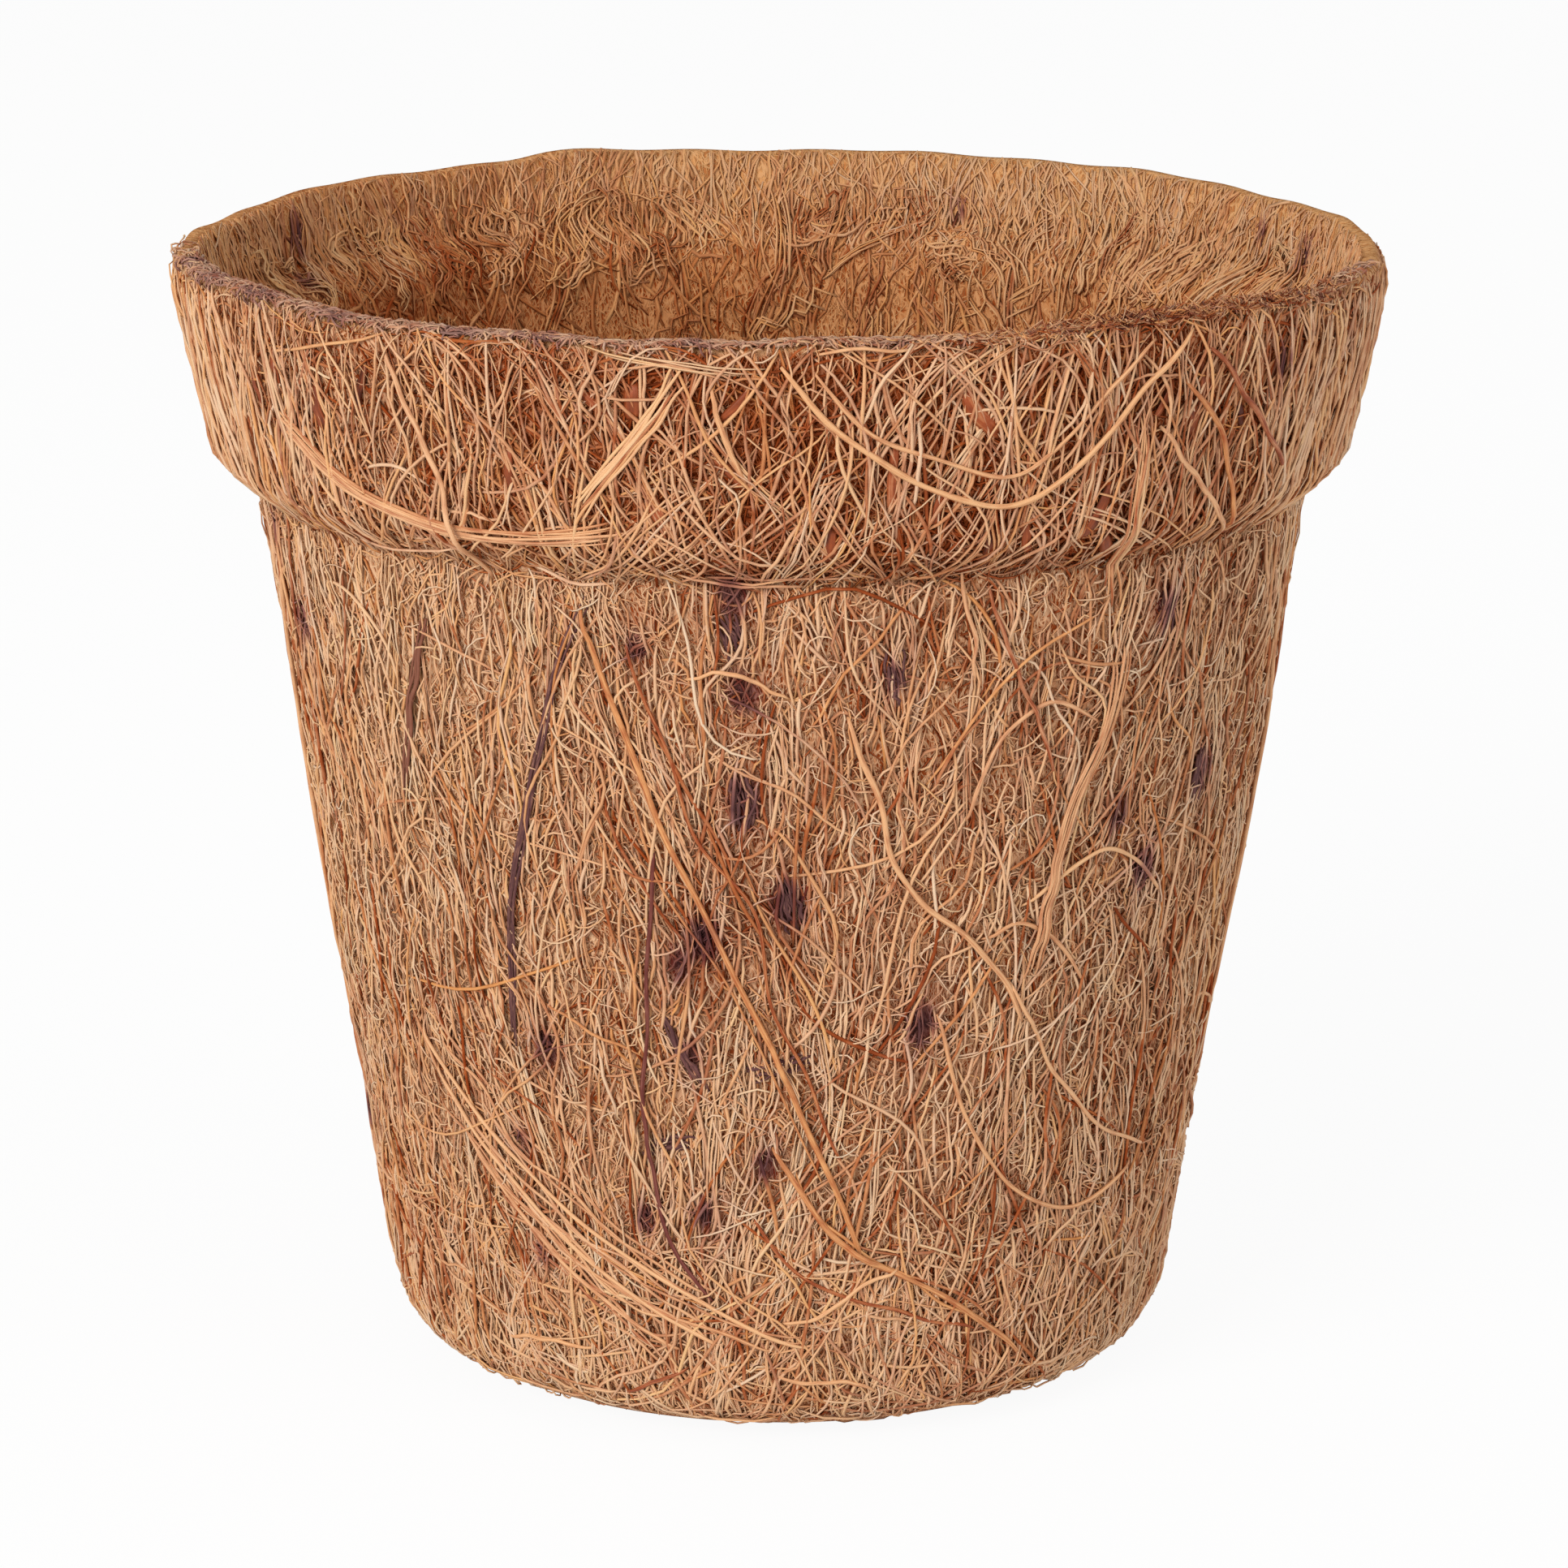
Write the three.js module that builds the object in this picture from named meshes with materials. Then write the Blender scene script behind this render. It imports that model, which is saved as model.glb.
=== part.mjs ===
// A moulded coir plant pot: a felt wall with a stepped collar, a round felt base, and the coarse
// strands and flat husk strips that lie on the outside of the felt.
// Millimetres, +Z up, origin at the middle of the standing face, the pot's front towards -Y.

import * as THREE from 'three';

// Outline of the outside
const RIM_DIAMETER = 100;
const POT_HEIGHT = 93.5;
const COLLAR_HEIGHT = 16.6; // from the rim down to the collar's foot
const COLLAR_FLARE = 3.4; // how much wider the rim is than the collar's foot, on the radius
const SHOULDER_STEP = 3.3; // how much wider the collar's foot is than the wall below it, on the radius
const SHOULDER_DROP = 3; // height of the slanted step under the collar
const WALL_FLARE = 11.3; // how much wider the wall is at its top than at the ground, on the radius
const HEEL_ROUND = 7;
const WALL_TOP_ROUND = 3;
const COLLAR_FOOT_ROUND = 3;
const RIM_ROUND = 0.8;

// Felt
const WALL_FELT = 2.8; // thickness of the wall
const BASE_FELT = 3.2; // thickness of the base
const LEDGE_DEPTH = 5.8; // from the rim down to the ledge inside the collar
const LEDGE_DROP = 3; // height of that slanted ledge
const FLANGE_WIDTH = 12; // how far the wall turns in under the pot
const LAP_WIDTH = 4; // how far the base lies over that flange
const BOND_GAP = 0.3; // between felt, strands and husk
const TIGHTEST_ROUND = 0.5; // inside the bends of the felt

// Strands and husk
const THREAD = 0.45; // widths, from the finest strands that stand out to whole bundles
const STRAND = 0.6;
const BUNDLE = 1;
const NARROW_HUSK = 1.1;
const WIDE_HUSK = 1.5;
const HUSK_THICKNESS = 0.4;
const END_TAPER = 0.5; // size of a strand's end against its middle
const CLIMB = 0.5; // steepest rise of a strand over the one it crosses
const PROBE_STEP = 0.4; // spacing of the points that find crossings
const PROBES_PER_RING = 5;
const STRAND_SIDES = 5;
const HUSK_SIDES = 6;

// Facets
const TURN_SEGMENTS = 72;
const BEND_STEP = 20; // degrees of bend for each facet

// Sizes that follow from those above
const RIM_RADIUS = RIM_DIAMETER / 2;
const COLLAR_FOOT_RADIUS = RIM_RADIUS - COLLAR_FLARE;
const WALL_TOP_RADIUS = COLLAR_FOOT_RADIUS - SHOULDER_STEP;
const GROUND_RADIUS = WALL_TOP_RADIUS - WALL_FLARE;
const COLLAR_FOOT_HEIGHT = POT_HEIGHT - COLLAR_HEIGHT;
const WALL_TOP_HEIGHT = COLLAR_FOOT_HEIGHT - SHOULDER_DROP;
const LAP_INNER_RADIUS = GROUND_RADIUS - FLANGE_WIDTH;
const LAP_OUTER_RADIUS = LAP_INNER_RADIUS + LAP_WIDTH;
const LAP_HEIGHT = WALL_FELT / 2;

const COLOURS = {
  felt: 0xac785a,
  inside: 0x9d6541,
  light: 0xd3a276,
  tan: 0xc08a5c,
  orange: 0xb5713a,
  brown: 0x84502f,
  husk: 0x5b3629,
};

// Courses of the strands, as [degrees round from the front, depth]. Depth is 0 at the rim, 1 at the
// collar's foot and 2 at the ground. A strand lies over those that come before it in its list.
const COLLAR_STRANDS = [
  { name: 'collar_foot_bundle', width: BUNDLE, colour: 'orange',
    course: [[-55, 0.5], [-46, 0.8], [-36, 0.95], [-25, 0.97], [-14, 0.9]] },
  { name: 'collar_left_strand', width: STRAND, colour: 'tan',
    course: [[-37, 0.12], [-35, 0.4], [-32, 0.9], [-31, 1.05]] },
  { name: 'collar_front_bundle', width: BUNDLE, colour: 'light',
    course: [[-8, 0.1], [-12, 0.4], [-20, 0.88]] },
  { name: 'collar_short_strand', width: STRAND, colour: 'tan',
    course: [[-6, 0.2], [-5, 0.42], [-3, 0.66]] },
  { name: 'collar_arc_outer', width: STRAND, colour: 'light',
    course: [[0, 0.12], [6, 0.45], [14, 0.7], [21, 0.8], [27, 0.68], [33, 0.36], [39, 0.08]] },
  { name: 'collar_arc_inner', width: THREAD, colour: 'tan',
    course: [[3, 0.14], [8, 0.42], [15, 0.58], [21, 0.66], [25, 0.56], [30, 0.3], [35, 0.1]] },
  { name: 'collar_right_hook', width: STRAND, colour: 'tan',
    course: [[37, 0.5], [41, 0.74], [46, 0.96], [51, 1.03]] },
  { name: 'collar_right_strand', width: STRAND, colour: 'orange',
    course: [[39, 0.3], [44, 0.55], [47, 0.82], [49, 1.02]] },
  { name: 'collar_dark_strand', width: STRAND, colour: 'brown',
    course: [[41, 0.15], [47, 0.42], [56, 0.86]] },
  { name: 'collar_step_bundle', width: BUNDLE, colour: 'light',
    course: [[35, 0.4], [35, 0.7], [35, 0.96], [36, 1.04], [37, 1.09]] },
];

const WALL_STRANDS = [
  { name: 'wall_long_diagonal', width: STRAND, colour: 'orange',
    course: [[-21, 1.07], [-13, 1.3], [-4, 1.48], [2, 1.6], [11, 1.78]] },
  { name: 'wall_dark_hook', width: THREAD, colour: 'brown',
    course: [[-14, 1.32], [-16, 1.5], [-17, 1.62], [-15, 1.75], [-9, 1.83]] },
  { name: 'wall_short_arc', width: THREAD, colour: 'light',
    course: [[-10, 1.14], [-5, 1.13], [1, 1.16]] },
  { name: 'wall_s_curve', width: STRAND, colour: 'orange',
    course: [[7, 1.18], [11, 1.28], [14, 1.36], [25, 1.45], [31, 1.53]] },
  { name: 'wall_branch', width: THREAD, colour: 'tan',
    course: [[24, 1.43], [30, 1.42], [36, 1.46], [40, 1.5]] },
  { name: 'wall_light_arc', width: THREAD, colour: 'light',
    course: [[29, 1.4], [37, 1.36], [43, 1.36], [52, 1.42]] },
  { name: 'wall_right_hook', width: THREAD, colour: 'tan',
    course: [[21, 1.3], [24, 1.22], [30, 1.18], [37, 1.21]] },
  { name: 'wall_right_bundle', width: BUNDLE, colour: 'light',
    course: [[39, 1.13], [38, 1.22], [34, 1.32], [31, 1.49]] },
  { name: 'wall_red_strand', width: THREAD, colour: 'brown',
    course: [[22, 1.05], [25, 1.13], [32, 1.26]] },
  { name: 'wall_thin_drop', width: THREAD, colour: 'tan',
    course: [[18, 1.03], [20, 1.08], [21, 1.15]] },
  { name: 'wall_lower_loop', width: THREAD, colour: 'tan',
    course: [[19, 1.51], [24, 1.63], [32, 1.72], [43, 1.76], [55, 1.73]] },
  { name: 'wall_inner_loop', width: THREAD, colour: 'light',
    course: [[28, 1.48], [36, 1.59], [46, 1.67], [58, 1.72]] },
];

const HEEL_STRANDS = [
  { name: 'heel_sweep_upper', width: THREAD, colour: 'light',
    course: [[-52, 1.57], [-41, 1.66], [-22, 1.78], [-3, 1.86], [4, 1.88]] },
  { name: 'heel_sweep_middle', width: THREAD, colour: 'light',
    course: [[-50, 1.61], [-40, 1.7], [-24, 1.81], [-8, 1.88]] },
  { name: 'heel_sweep_lower', width: THREAD, colour: 'tan',
    course: [[-46, 1.67], [-36, 1.76], [-26, 1.83], [-14, 1.89]] },
  { name: 'heel_diagonal', width: STRAND, colour: 'orange',
    course: [[-1, 1.65], [7, 1.75], [18, 1.81], [28, 1.86], [36, 1.92]] },
  { name: 'heel_left_strand', width: THREAD, colour: 'light',
    course: [[-43, 1.91], [-36, 1.9], [-27, 1.9]] },
  { name: 'heel_short_strand', width: THREAD, colour: 'brown',
    course: [[-23, 1.95], [-19, 1.93], [-13, 1.91]] },
  { name: 'heel_wave', width: THREAD, colour: 'tan',
    course: [[-1, 1.91], [4, 1.92], [10, 1.92], [14, 1.94]] },
  { name: 'heel_arc', width: THREAD, colour: 'light',
    course: [[0, 1.85], [6, 1.84], [11, 1.81], [16, 1.79]] },
];

const BACK_STRANDS = [
  { name: 'left_collar_strand', width: STRAND, colour: 'tan',
    course: [[-96, 0.2], [-88, 0.5], [-82, 0.95]] },
  { name: 'left_wall_strand', width: STRAND, colour: 'light',
    course: [[-70, 1.1], [-78, 1.3], [-82, 1.55]] },
  { name: 'left_heel_arc', width: THREAD, colour: 'tan',
    course: [[-100, 1.7], [-88, 1.78], [-72, 1.8]] },
  { name: 'right_collar_strand', width: STRAND, colour: 'orange',
    course: [[78, 0.25], [86, 0.55], [96, 0.9]] },
  { name: 'right_wall_strand', width: STRAND, colour: 'tan',
    course: [[72, 1.12], [80, 1.35], [76, 1.6]] },
  { name: 'right_heel_arc', width: THREAD, colour: 'light',
    course: [[84, 1.7], [96, 1.8], [112, 1.78]] },
  { name: 'back_collar_arc', width: STRAND, colour: 'light',
    course: [[150, 0.12], [160, 0.5], [172, 0.65], [186, 0.5], [196, 0.12]] },
  { name: 'back_collar_bundle', width: BUNDLE, colour: 'orange',
    course: [[205, 0.15], [212, 0.5], [216, 0.94], [217, 1.08]] },
  { name: 'back_wall_diagonal', width: STRAND, colour: 'orange',
    course: [[150, 1.08], [160, 1.3], [174, 1.5], [192, 1.75]] },
  { name: 'back_wall_wave', width: THREAD, colour: 'tan',
    course: [[203, 1.15], [212, 1.3], [206, 1.45], [214, 1.6]] },
  { name: 'back_wall_loop', width: THREAD, colour: 'light',
    course: [[122, 1.3], [128, 1.48], [140, 1.54], [152, 1.46]] },
  { name: 'back_heel_sweep', width: THREAD, colour: 'tan',
    course: [[140, 1.78], [160, 1.85], [184, 1.9]] },
];

const HUSK_STRIPS = [
  { name: 'husk_long_strip', width: WIDE_HUSK, colour: 'husk',
    course: [[-20, 1.06], [-24, 1.14], [-29, 1.29], [-33, 1.42], [-35, 1.57]] },
  { name: 'husk_left_strip', width: WIDE_HUSK, colour: 'husk',
    course: [[-39, 1.07], [-43, 1.17], [-49, 1.33]] },
  { name: 'husk_slant_strip', width: NARROW_HUSK, colour: 'husk',
    course: [[-14, 1.49], [-13, 1.53], [-9, 1.59]] },
  { name: 'husk_cross_strip', width: NARROW_HUSK, colour: 'husk',
    course: [[-4, 1.57], [0, 1.56], [4, 1.55]] },
  { name: 'husk_low_strip', width: NARROW_HUSK, colour: 'husk',
    course: [[-18, 1.66], [-14, 1.65], [-10, 1.65]] },
  { name: 'husk_collar_flake', width: WIDE_HUSK, colour: 'husk',
    course: [[-6, 1.07], [-5, 1.09], [-4, 1.12]] },
  { name: 'husk_wall_flake', width: WIDE_HUSK, colour: 'husk',
    course: [[-5, 1.24], [-4, 1.27], [-4, 1.3]] },
  { name: 'husk_middle_flake', width: WIDE_HUSK, colour: 'husk',
    course: [[0, 1.35], [1, 1.38], [2, 1.41]] },
  { name: 'husk_upper_flake', width: WIDE_HUSK, colour: 'husk',
    course: [[12, 1.11], [12, 1.14], [13, 1.17]] },
  { name: 'husk_right_flake', width: WIDE_HUSK, colour: 'husk',
    course: [[45, 1.08], [46, 1.11], [46, 1.14]] },
  { name: 'husk_side_flake', width: WIDE_HUSK, colour: 'husk',
    course: [[58, 1.27], [57, 1.3], [57, 1.34]] },
  { name: 'husk_back_strip', width: WIDE_HUSK, colour: 'husk',
    course: [[178, 1.1], [176, 1.25], [180, 1.4]] },
];

// Unit direction from one point of an outline to the next.
function direction(from, to) {
  return to.clone().sub(from).normalize();
}

// A direction turned a quarter turn to the left.
function toLeft(along) {
  return new THREE.Vector2(-along.y, along.x);
}

// Moves a run of straight lines to its left by a distance, with mitred corners.
function movedLeft(run, distance) {
  return run.map((point, i) => {
    const before = direction(run[Math.max(i - 1, 0)], run[Math.max(i, 1)]);
    const after = direction(run[Math.min(i, run.length - 2)], run[Math.min(i + 1, run.length - 1)]);
    const mitre = toLeft(before).add(toLeft(after)).normalize();
    return point.clone().addScaledVector(mitre, distance / mitre.dot(toLeft(before)));
  });
}

// Points of the arc that rounds one corner of an outline.
function roundedCorner(before, corner, after, round) {
  const arriving = direction(before, corner);
  const leaving = direction(corner, after);
  const turn = Math.atan2(arriving.cross(leaving), arriving.dot(leaving));
  const start = corner.clone().addScaledVector(arriving, -round * Math.tan(Math.abs(turn) / 2));
  const centre = start.clone().addScaledVector(toLeft(arriving), Math.sign(turn) * round);
  const steps = Math.ceil(THREE.MathUtils.radToDeg(Math.abs(turn)) / BEND_STEP);
  const points = [];
  for (let i = 0; i <= steps; i += 1) {
    points.push(start.clone().rotateAround(centre, (turn * i) / steps));
  }
  return points;
}

// Rounds the corners of a run of straight lines; a corner with no rounding stays sharp.
function roundedRun(run, rounds) {
  return run.flatMap((corner, i) => {
    const sharp = i === 0 || i === run.length - 1 || rounds[i] === 0;
    return sharp ? [corner.clone()] : roundedCorner(run[i - 1], corner, run[i + 1], rounds[i]);
  });
}

// The outside of the pot, from the flange under it out to the heel and up to the rim.
const OUTER_RUN = [
  new THREE.Vector2(LAP_INNER_RADIUS, 0),
  new THREE.Vector2(GROUND_RADIUS, 0),
  new THREE.Vector2(WALL_TOP_RADIUS, WALL_TOP_HEIGHT),
  new THREE.Vector2(COLLAR_FOOT_RADIUS, COLLAR_FOOT_HEIGHT),
  new THREE.Vector2(RIM_RADIUS, POT_HEIGHT),
];
const OUTER_ROUNDS = [0, HEEL_ROUND, WALL_TOP_ROUND, COLLAR_FOOT_ROUND, RIM_ROUND];
const OUTSIDE = roundedRun(OUTER_RUN, OUTER_ROUNDS);

// Moves a point along a direction to a height.
function slideTo(point, along, height) {
  point.addScaledVector(along, (height - point.y) / along.y);
}

// The inside of the pot, from the flange up to the rim, one felt thickness in from the outside. Its ledge
// lies higher than the step outside, so the felt is thickest between the two.
function innerRun() {
  const run = movedLeft(OUTER_RUN, WALL_FELT);
  run[0].x = LAP_OUTER_RADIUS;
  const wall = direction(run[1], run[2]);
  const collar = direction(run[3], run[4]);
  const ledgeHeight = POT_HEIGHT - LEDGE_DEPTH;
  slideTo(run[2], wall, ledgeHeight - LEDGE_DROP);
  slideTo(run[3], collar, ledgeHeight);
  slideTo(run[4], collar, POT_HEIGHT);
  return run;
}

// A bend's rounding on its inner side is tighter by the felt, and on its outer side wider.
function innerRounds() {
  const tighter = (round) => Math.max(round - WALL_FELT, TIGHTEST_ROUND);
  return [0, tighter(HEEL_ROUND), WALL_TOP_ROUND + WALL_FELT, tighter(COLLAR_FOOT_ROUND), RIM_ROUND];
}

// Section of the wall: up the outside, over the trimmed rim, down the inside and round the lap.
function wallSection() {
  const lap = [
    new THREE.Vector2(LAP_OUTER_RADIUS, LAP_HEIGHT),
    new THREE.Vector2(LAP_INNER_RADIUS, LAP_HEIGHT),
    new THREE.Vector2(LAP_INNER_RADIUS, 0),
  ];
  const run = [...OUTER_RUN, ...innerRun().reverse(), ...lap];
  const rounds = [...OUTER_ROUNDS, ...innerRounds().reverse(), 0, 0, 0];
  return roundedRun(run, rounds);
}

// Section of the base: a disc whose upper half lies over the flange of the wall.
function baseSection() {
  const lower = LAP_INNER_RADIUS - BOND_GAP;
  const upper = LAP_OUTER_RADIUS - BOND_GAP;
  return [
    new THREE.Vector2(0, 0),
    new THREE.Vector2(lower, 0),
    new THREE.Vector2(lower, LAP_HEIGHT + BOND_GAP),
    new THREE.Vector2(upper, LAP_HEIGHT + BOND_GAP),
    new THREE.Vector2(upper, BASE_FELT),
    new THREE.Vector2(0, BASE_FELT),
  ];
}

function named(name, geometry, colour) {
  const material = new THREE.MeshStandardMaterial({ color: COLOURS[colour], roughness: 0.95, metalness: 0 });
  const mesh = new THREE.Mesh(geometry, material);
  mesh.name = name;
  return mesh;
}

// A section turned round the pot's upright axis.
function turned(name, section, colour) {
  const geometry = new THREE.LatheGeometry(section, TURN_SEGMENTS);
  geometry.rotateX(Math.PI / 2);
  return named(name, geometry, colour);
}

// Radius of the outside at a height.
function outsideRadius(height) {
  const found = OUTSIDE.findIndex((point) => point.y >= height);
  const upper = found < 0 ? OUTSIDE.length - 1 : Math.max(found, 1);
  const low = OUTSIDE[upper - 1];
  const high = OUTSIDE[upper];
  return THREE.MathUtils.mapLinear(height, low.y, high.y, low.x, high.x);
}

function heightAt(depth) {
  const onCollar = POT_HEIGHT - depth * COLLAR_HEIGHT;
  const onWall = (2 - depth) * COLLAR_FOOT_HEIGHT;
  return depth < 1 ? onCollar : onWall;
}

// A place on the outside with the direction that points out of the felt there.
function placeOutside(angle, height) {
  const radius = outsideRadius(height);
  const lean = (outsideRadius(height + PROBE_STEP) - outsideRadius(height - PROBE_STEP)) / (2 * PROBE_STEP);
  const point = new THREE.Vector3(radius * Math.sin(angle), -radius * Math.cos(angle), height);
  const out = new THREE.Vector3(Math.sin(angle), -Math.cos(angle), -lean).normalize();
  return { point, out, lift: 0 };
}

// Closely spaced places along a strand's course.
function probesAlong(course) {
  const flat = course.map(([degrees, depth]) => {
    const around = THREE.MathUtils.degToRad(degrees) * WALL_TOP_RADIUS;
    return new THREE.Vector2(around, heightAt(depth));
  });
  const curve = new THREE.SplineCurve(flat);
  const rings = Math.max(2, Math.round(curve.getLength() / (PROBE_STEP * PROBES_PER_RING)));
  const spaced = curve.getSpacedPoints(rings * PROBES_PER_RING);
  return spaced.map((spot) => placeOutside(spot.x / WALL_TOP_RADIUS, spot.y));
}

const laid = [];

// Height that a strand's middle needs at one place to clear the felt and every strand laid before it.
function clearLift(probe, halfWidth, halfHeight) {
  let lift = halfHeight + BOND_GAP;
  for (const under of laid) {
    const reach = halfWidth + under.halfWidth + BOND_GAP + PROBE_STEP;
    for (const place of under.probes) {
      if (place.point.distanceTo(probe.point) < reach) {
        lift = Math.max(lift, place.lift + under.halfHeight + BOND_GAP + halfHeight);
      }
    }
  }
  return lift;
}

// Raises the places next to a crossing so that a strand climbs gently over it.
function easeClimbs(probes) {
  const fall = CLIMB * PROBE_STEP;
  for (let i = 1; i < probes.length; i += 1) {
    probes[i].lift = Math.max(probes[i].lift, probes[i - 1].lift - fall);
  }
  for (let i = probes.length - 2; i >= 0; i -= 1) {
    probes[i].lift = Math.max(probes[i].lift, probes[i + 1].lift - fall);
  }
}

// Every ring is as high as the places up to the next ring on either side need.
function ringsFrom(probes) {
  const rings = [];
  for (let i = 0; i < probes.length; i += PROBES_PER_RING) {
    const near = probes.slice(Math.max(0, i - PROBES_PER_RING), i + PROBES_PER_RING + 1);
    const lift = Math.max(...near.map((probe) => probe.lift));
    const { point, out } = probes[i];
    rings.push({ lift, out, centre: point.clone().addScaledVector(out, lift) });
  }
  probes.forEach((probe, i) => {
    const before = rings[Math.floor(i / PROBES_PER_RING)];
    const after = rings[Math.ceil(i / PROBES_PER_RING)];
    probe.lift = THREE.MathUtils.lerp(before.lift, after.lift, (i % PROBES_PER_RING) / PROBES_PER_RING);
  });
  return rings;
}

// A closed body swept through rings, flat against the felt, with tapered ends.
function sweep(rings, halfWidth, halfHeight, sides) {
  const last = rings.length - 1;
  const positions = [];
  rings.forEach((ring, i) => {
    const ahead = rings[Math.min(i + 1, last)].centre;
    const behind = rings[Math.max(i - 1, 0)].centre;
    const along = ahead.clone().sub(behind).normalize();
    const across = ring.out.clone().cross(along).normalize();
    const up = along.clone().cross(across);
    const size = i === 0 || i === last ? END_TAPER : 1;
    for (let j = 0; j < sides; j += 1) {
      const turn = (2 * Math.PI * j) / sides;
      const corner = ring.centre.clone();
      corner.addScaledVector(across, Math.cos(turn) * halfWidth * size);
      corner.addScaledVector(up, Math.sin(turn) * halfHeight * size);
      positions.push(corner.x, corner.y, corner.z);
    }
  });
  const faces = [];
  for (let j = 0; j < sides; j += 1) {
    const next = (j + 1) % sides;
    for (let i = 0; i < last; i += 1) {
      const here = i * sides;
      const there = here + sides;
      faces.push(here + j, here + next, there + next, here + j, there + next, there + j);
    }
  }
  for (let j = 1; j < sides - 1; j += 1) {
    const end = last * sides;
    faces.push(0, j + 1, j, end, end + j, end + j + 1);
  }
  const geometry = new THREE.BufferGeometry();
  geometry.setAttribute('position', new THREE.Float32BufferAttribute(positions, 3));
  geometry.setIndex(faces);
  return geometry;
}

// Lays one strand or husk strip on the felt, over whatever already lies there.
function layStrand({ name, width, colour, course }, thickness, sides) {
  const halfWidth = width / 2;
  const halfHeight = thickness / 2;
  const probes = probesAlong(course);
  for (const probe of probes) {
    probe.lift = clearLift(probe, halfWidth, halfHeight);
  }
  easeClimbs(probes);
  const rings = ringsFrom(probes);
  laid.push({ probes, halfWidth, halfHeight });
  return named(name, sweep(rings, halfWidth, halfHeight, sides), colour);
}

function feltGroup() {
  const group = new THREE.Group();
  group.add(turned('wall_felt', wallSection(), 'felt'));
  group.add(turned('base_felt', baseSection(), 'inside'));
  return group;
}

function huskGroup() {
  const group = new THREE.Group();
  for (const strip of HUSK_STRIPS) {
    group.add(layStrand(strip, HUSK_THICKNESS, HUSK_SIDES));
  }
  return group;
}

function strandGroup(strands) {
  const group = new THREE.Group();
  for (const strand of strands) {
    group.add(layStrand(strand, strand.width, STRAND_SIDES));
  }
  return group;
}

const pot = new THREE.Group();
pot.add(feltGroup());
pot.add(huskGroup());
pot.add(strandGroup(COLLAR_STRANDS));
pot.add(strandGroup(WALL_STRANDS));
pot.add(strandGroup(HEEL_STRANDS));
pot.add(strandGroup(BACK_STRANDS));

export default pot;
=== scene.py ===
"""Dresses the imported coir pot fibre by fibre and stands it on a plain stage."""

import math

import bpy
import numpy as np
from bpy.props import FloatProperty, FloatVectorProperty, IntProperty, PointerProperty
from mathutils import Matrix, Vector


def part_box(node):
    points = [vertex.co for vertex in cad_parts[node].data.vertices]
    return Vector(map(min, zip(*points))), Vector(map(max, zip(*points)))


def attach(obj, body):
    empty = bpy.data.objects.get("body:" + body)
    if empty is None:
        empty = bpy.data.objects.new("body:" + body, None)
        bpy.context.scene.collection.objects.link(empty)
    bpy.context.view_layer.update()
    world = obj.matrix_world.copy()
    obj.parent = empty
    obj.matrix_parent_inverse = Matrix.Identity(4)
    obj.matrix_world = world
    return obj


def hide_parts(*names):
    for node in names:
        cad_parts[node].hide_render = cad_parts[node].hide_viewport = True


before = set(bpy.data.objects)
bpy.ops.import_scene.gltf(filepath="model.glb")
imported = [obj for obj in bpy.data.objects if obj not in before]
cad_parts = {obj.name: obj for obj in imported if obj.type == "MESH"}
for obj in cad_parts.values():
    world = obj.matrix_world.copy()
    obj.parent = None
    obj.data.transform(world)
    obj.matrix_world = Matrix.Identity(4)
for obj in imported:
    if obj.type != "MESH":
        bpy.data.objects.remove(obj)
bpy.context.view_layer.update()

bl_info = {
    "name": "Coir Pot",
    "version": (1, 0, 0),
    "blender": (4, 5, 0),
    "location": "View3D > Sidebar > Coir Pot",
    "description": "Builds a plant pot of pressed coir out of felt, fibres, strands and husk",
    "category": "Object",
}

MM = 0.001
TINY = 1e-12
WALL_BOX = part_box("wall_felt")
BODY = "root"
FLOOR_CLEARANCE = 0.05 * MM
LEAST_ROUND = 0.5 * MM
BULGE_START = 6 * MM
HALVES = ("left", "right")
SECTORS = ("back_left", "left", "front_left", "front_right", "right", "back_right")

# The rim's small step, in degrees from the front and in millimetres, and its ragged stretch, as the degrees
# of its middle and the mean and the spread of its height in millimetres.
RIM_STEP = -152
RIM_STEP_RISE = 0.7
RAGGED_MIDDLE = 38
RAGGED_RISE = 0.6
RAGGED_SPREAD = 0.45

# Courses of the coarse strands, as (degrees round from the front, depth). Depth is 0 at the rim, 1 at the
# collar's foot and 2 at the ground. A strand lies over those that come before it.
COLLAR_COURSES = {
    "collar_foot_bundle": ("bundle", "tan", [(-55, 0.5), (-46, 0.8), (-36, 0.95), (-25, 0.97), (-14, 0.9)]),
    "collar_left_strand": ("strand", "tan", [(-37, 0.12), (-35, 0.4), (-32, 0.9), (-31, 1.05)]),
    "collar_front_bundle": ("bundle", "light", [(-8, 0.1), (-12, 0.4), (-20, 0.88)]),
    "collar_short_strand": ("strand", "tan", [(-6, 0.2), (-5, 0.42), (-3, 0.66)]),
    "collar_arc_outer": (
        "strand", "light", [(0, 0.12), (6, 0.45), (14, 0.7), (21, 0.8), (27, 0.68), (33, 0.36), (39, 0.08)],
    ),
    "collar_arc_inner": (
        "thread", "tan", [(3, 0.14), (8, 0.42), (15, 0.58), (21, 0.66), (25, 0.56), (30, 0.3), (35, 0.1)],
    ),
    "collar_right_hook": ("strand", "tan", [(37, 0.5), (41, 0.74), (46, 0.96), (51, 1.03)]),
    "collar_right_strand": ("strand", "orange", [(39, 0.3), (44, 0.55), (47, 0.82), (49, 1.02)]),
    "collar_dark_strand": ("strand", "brown", [(41, 0.15), (47, 0.42), (56, 0.86)]),
    "collar_step_bundle": ("bundle", "light", [(35, 0.4), (35, 0.7), (35, 0.96), (36, 1.04), (37, 1.09)]),
}
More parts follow.
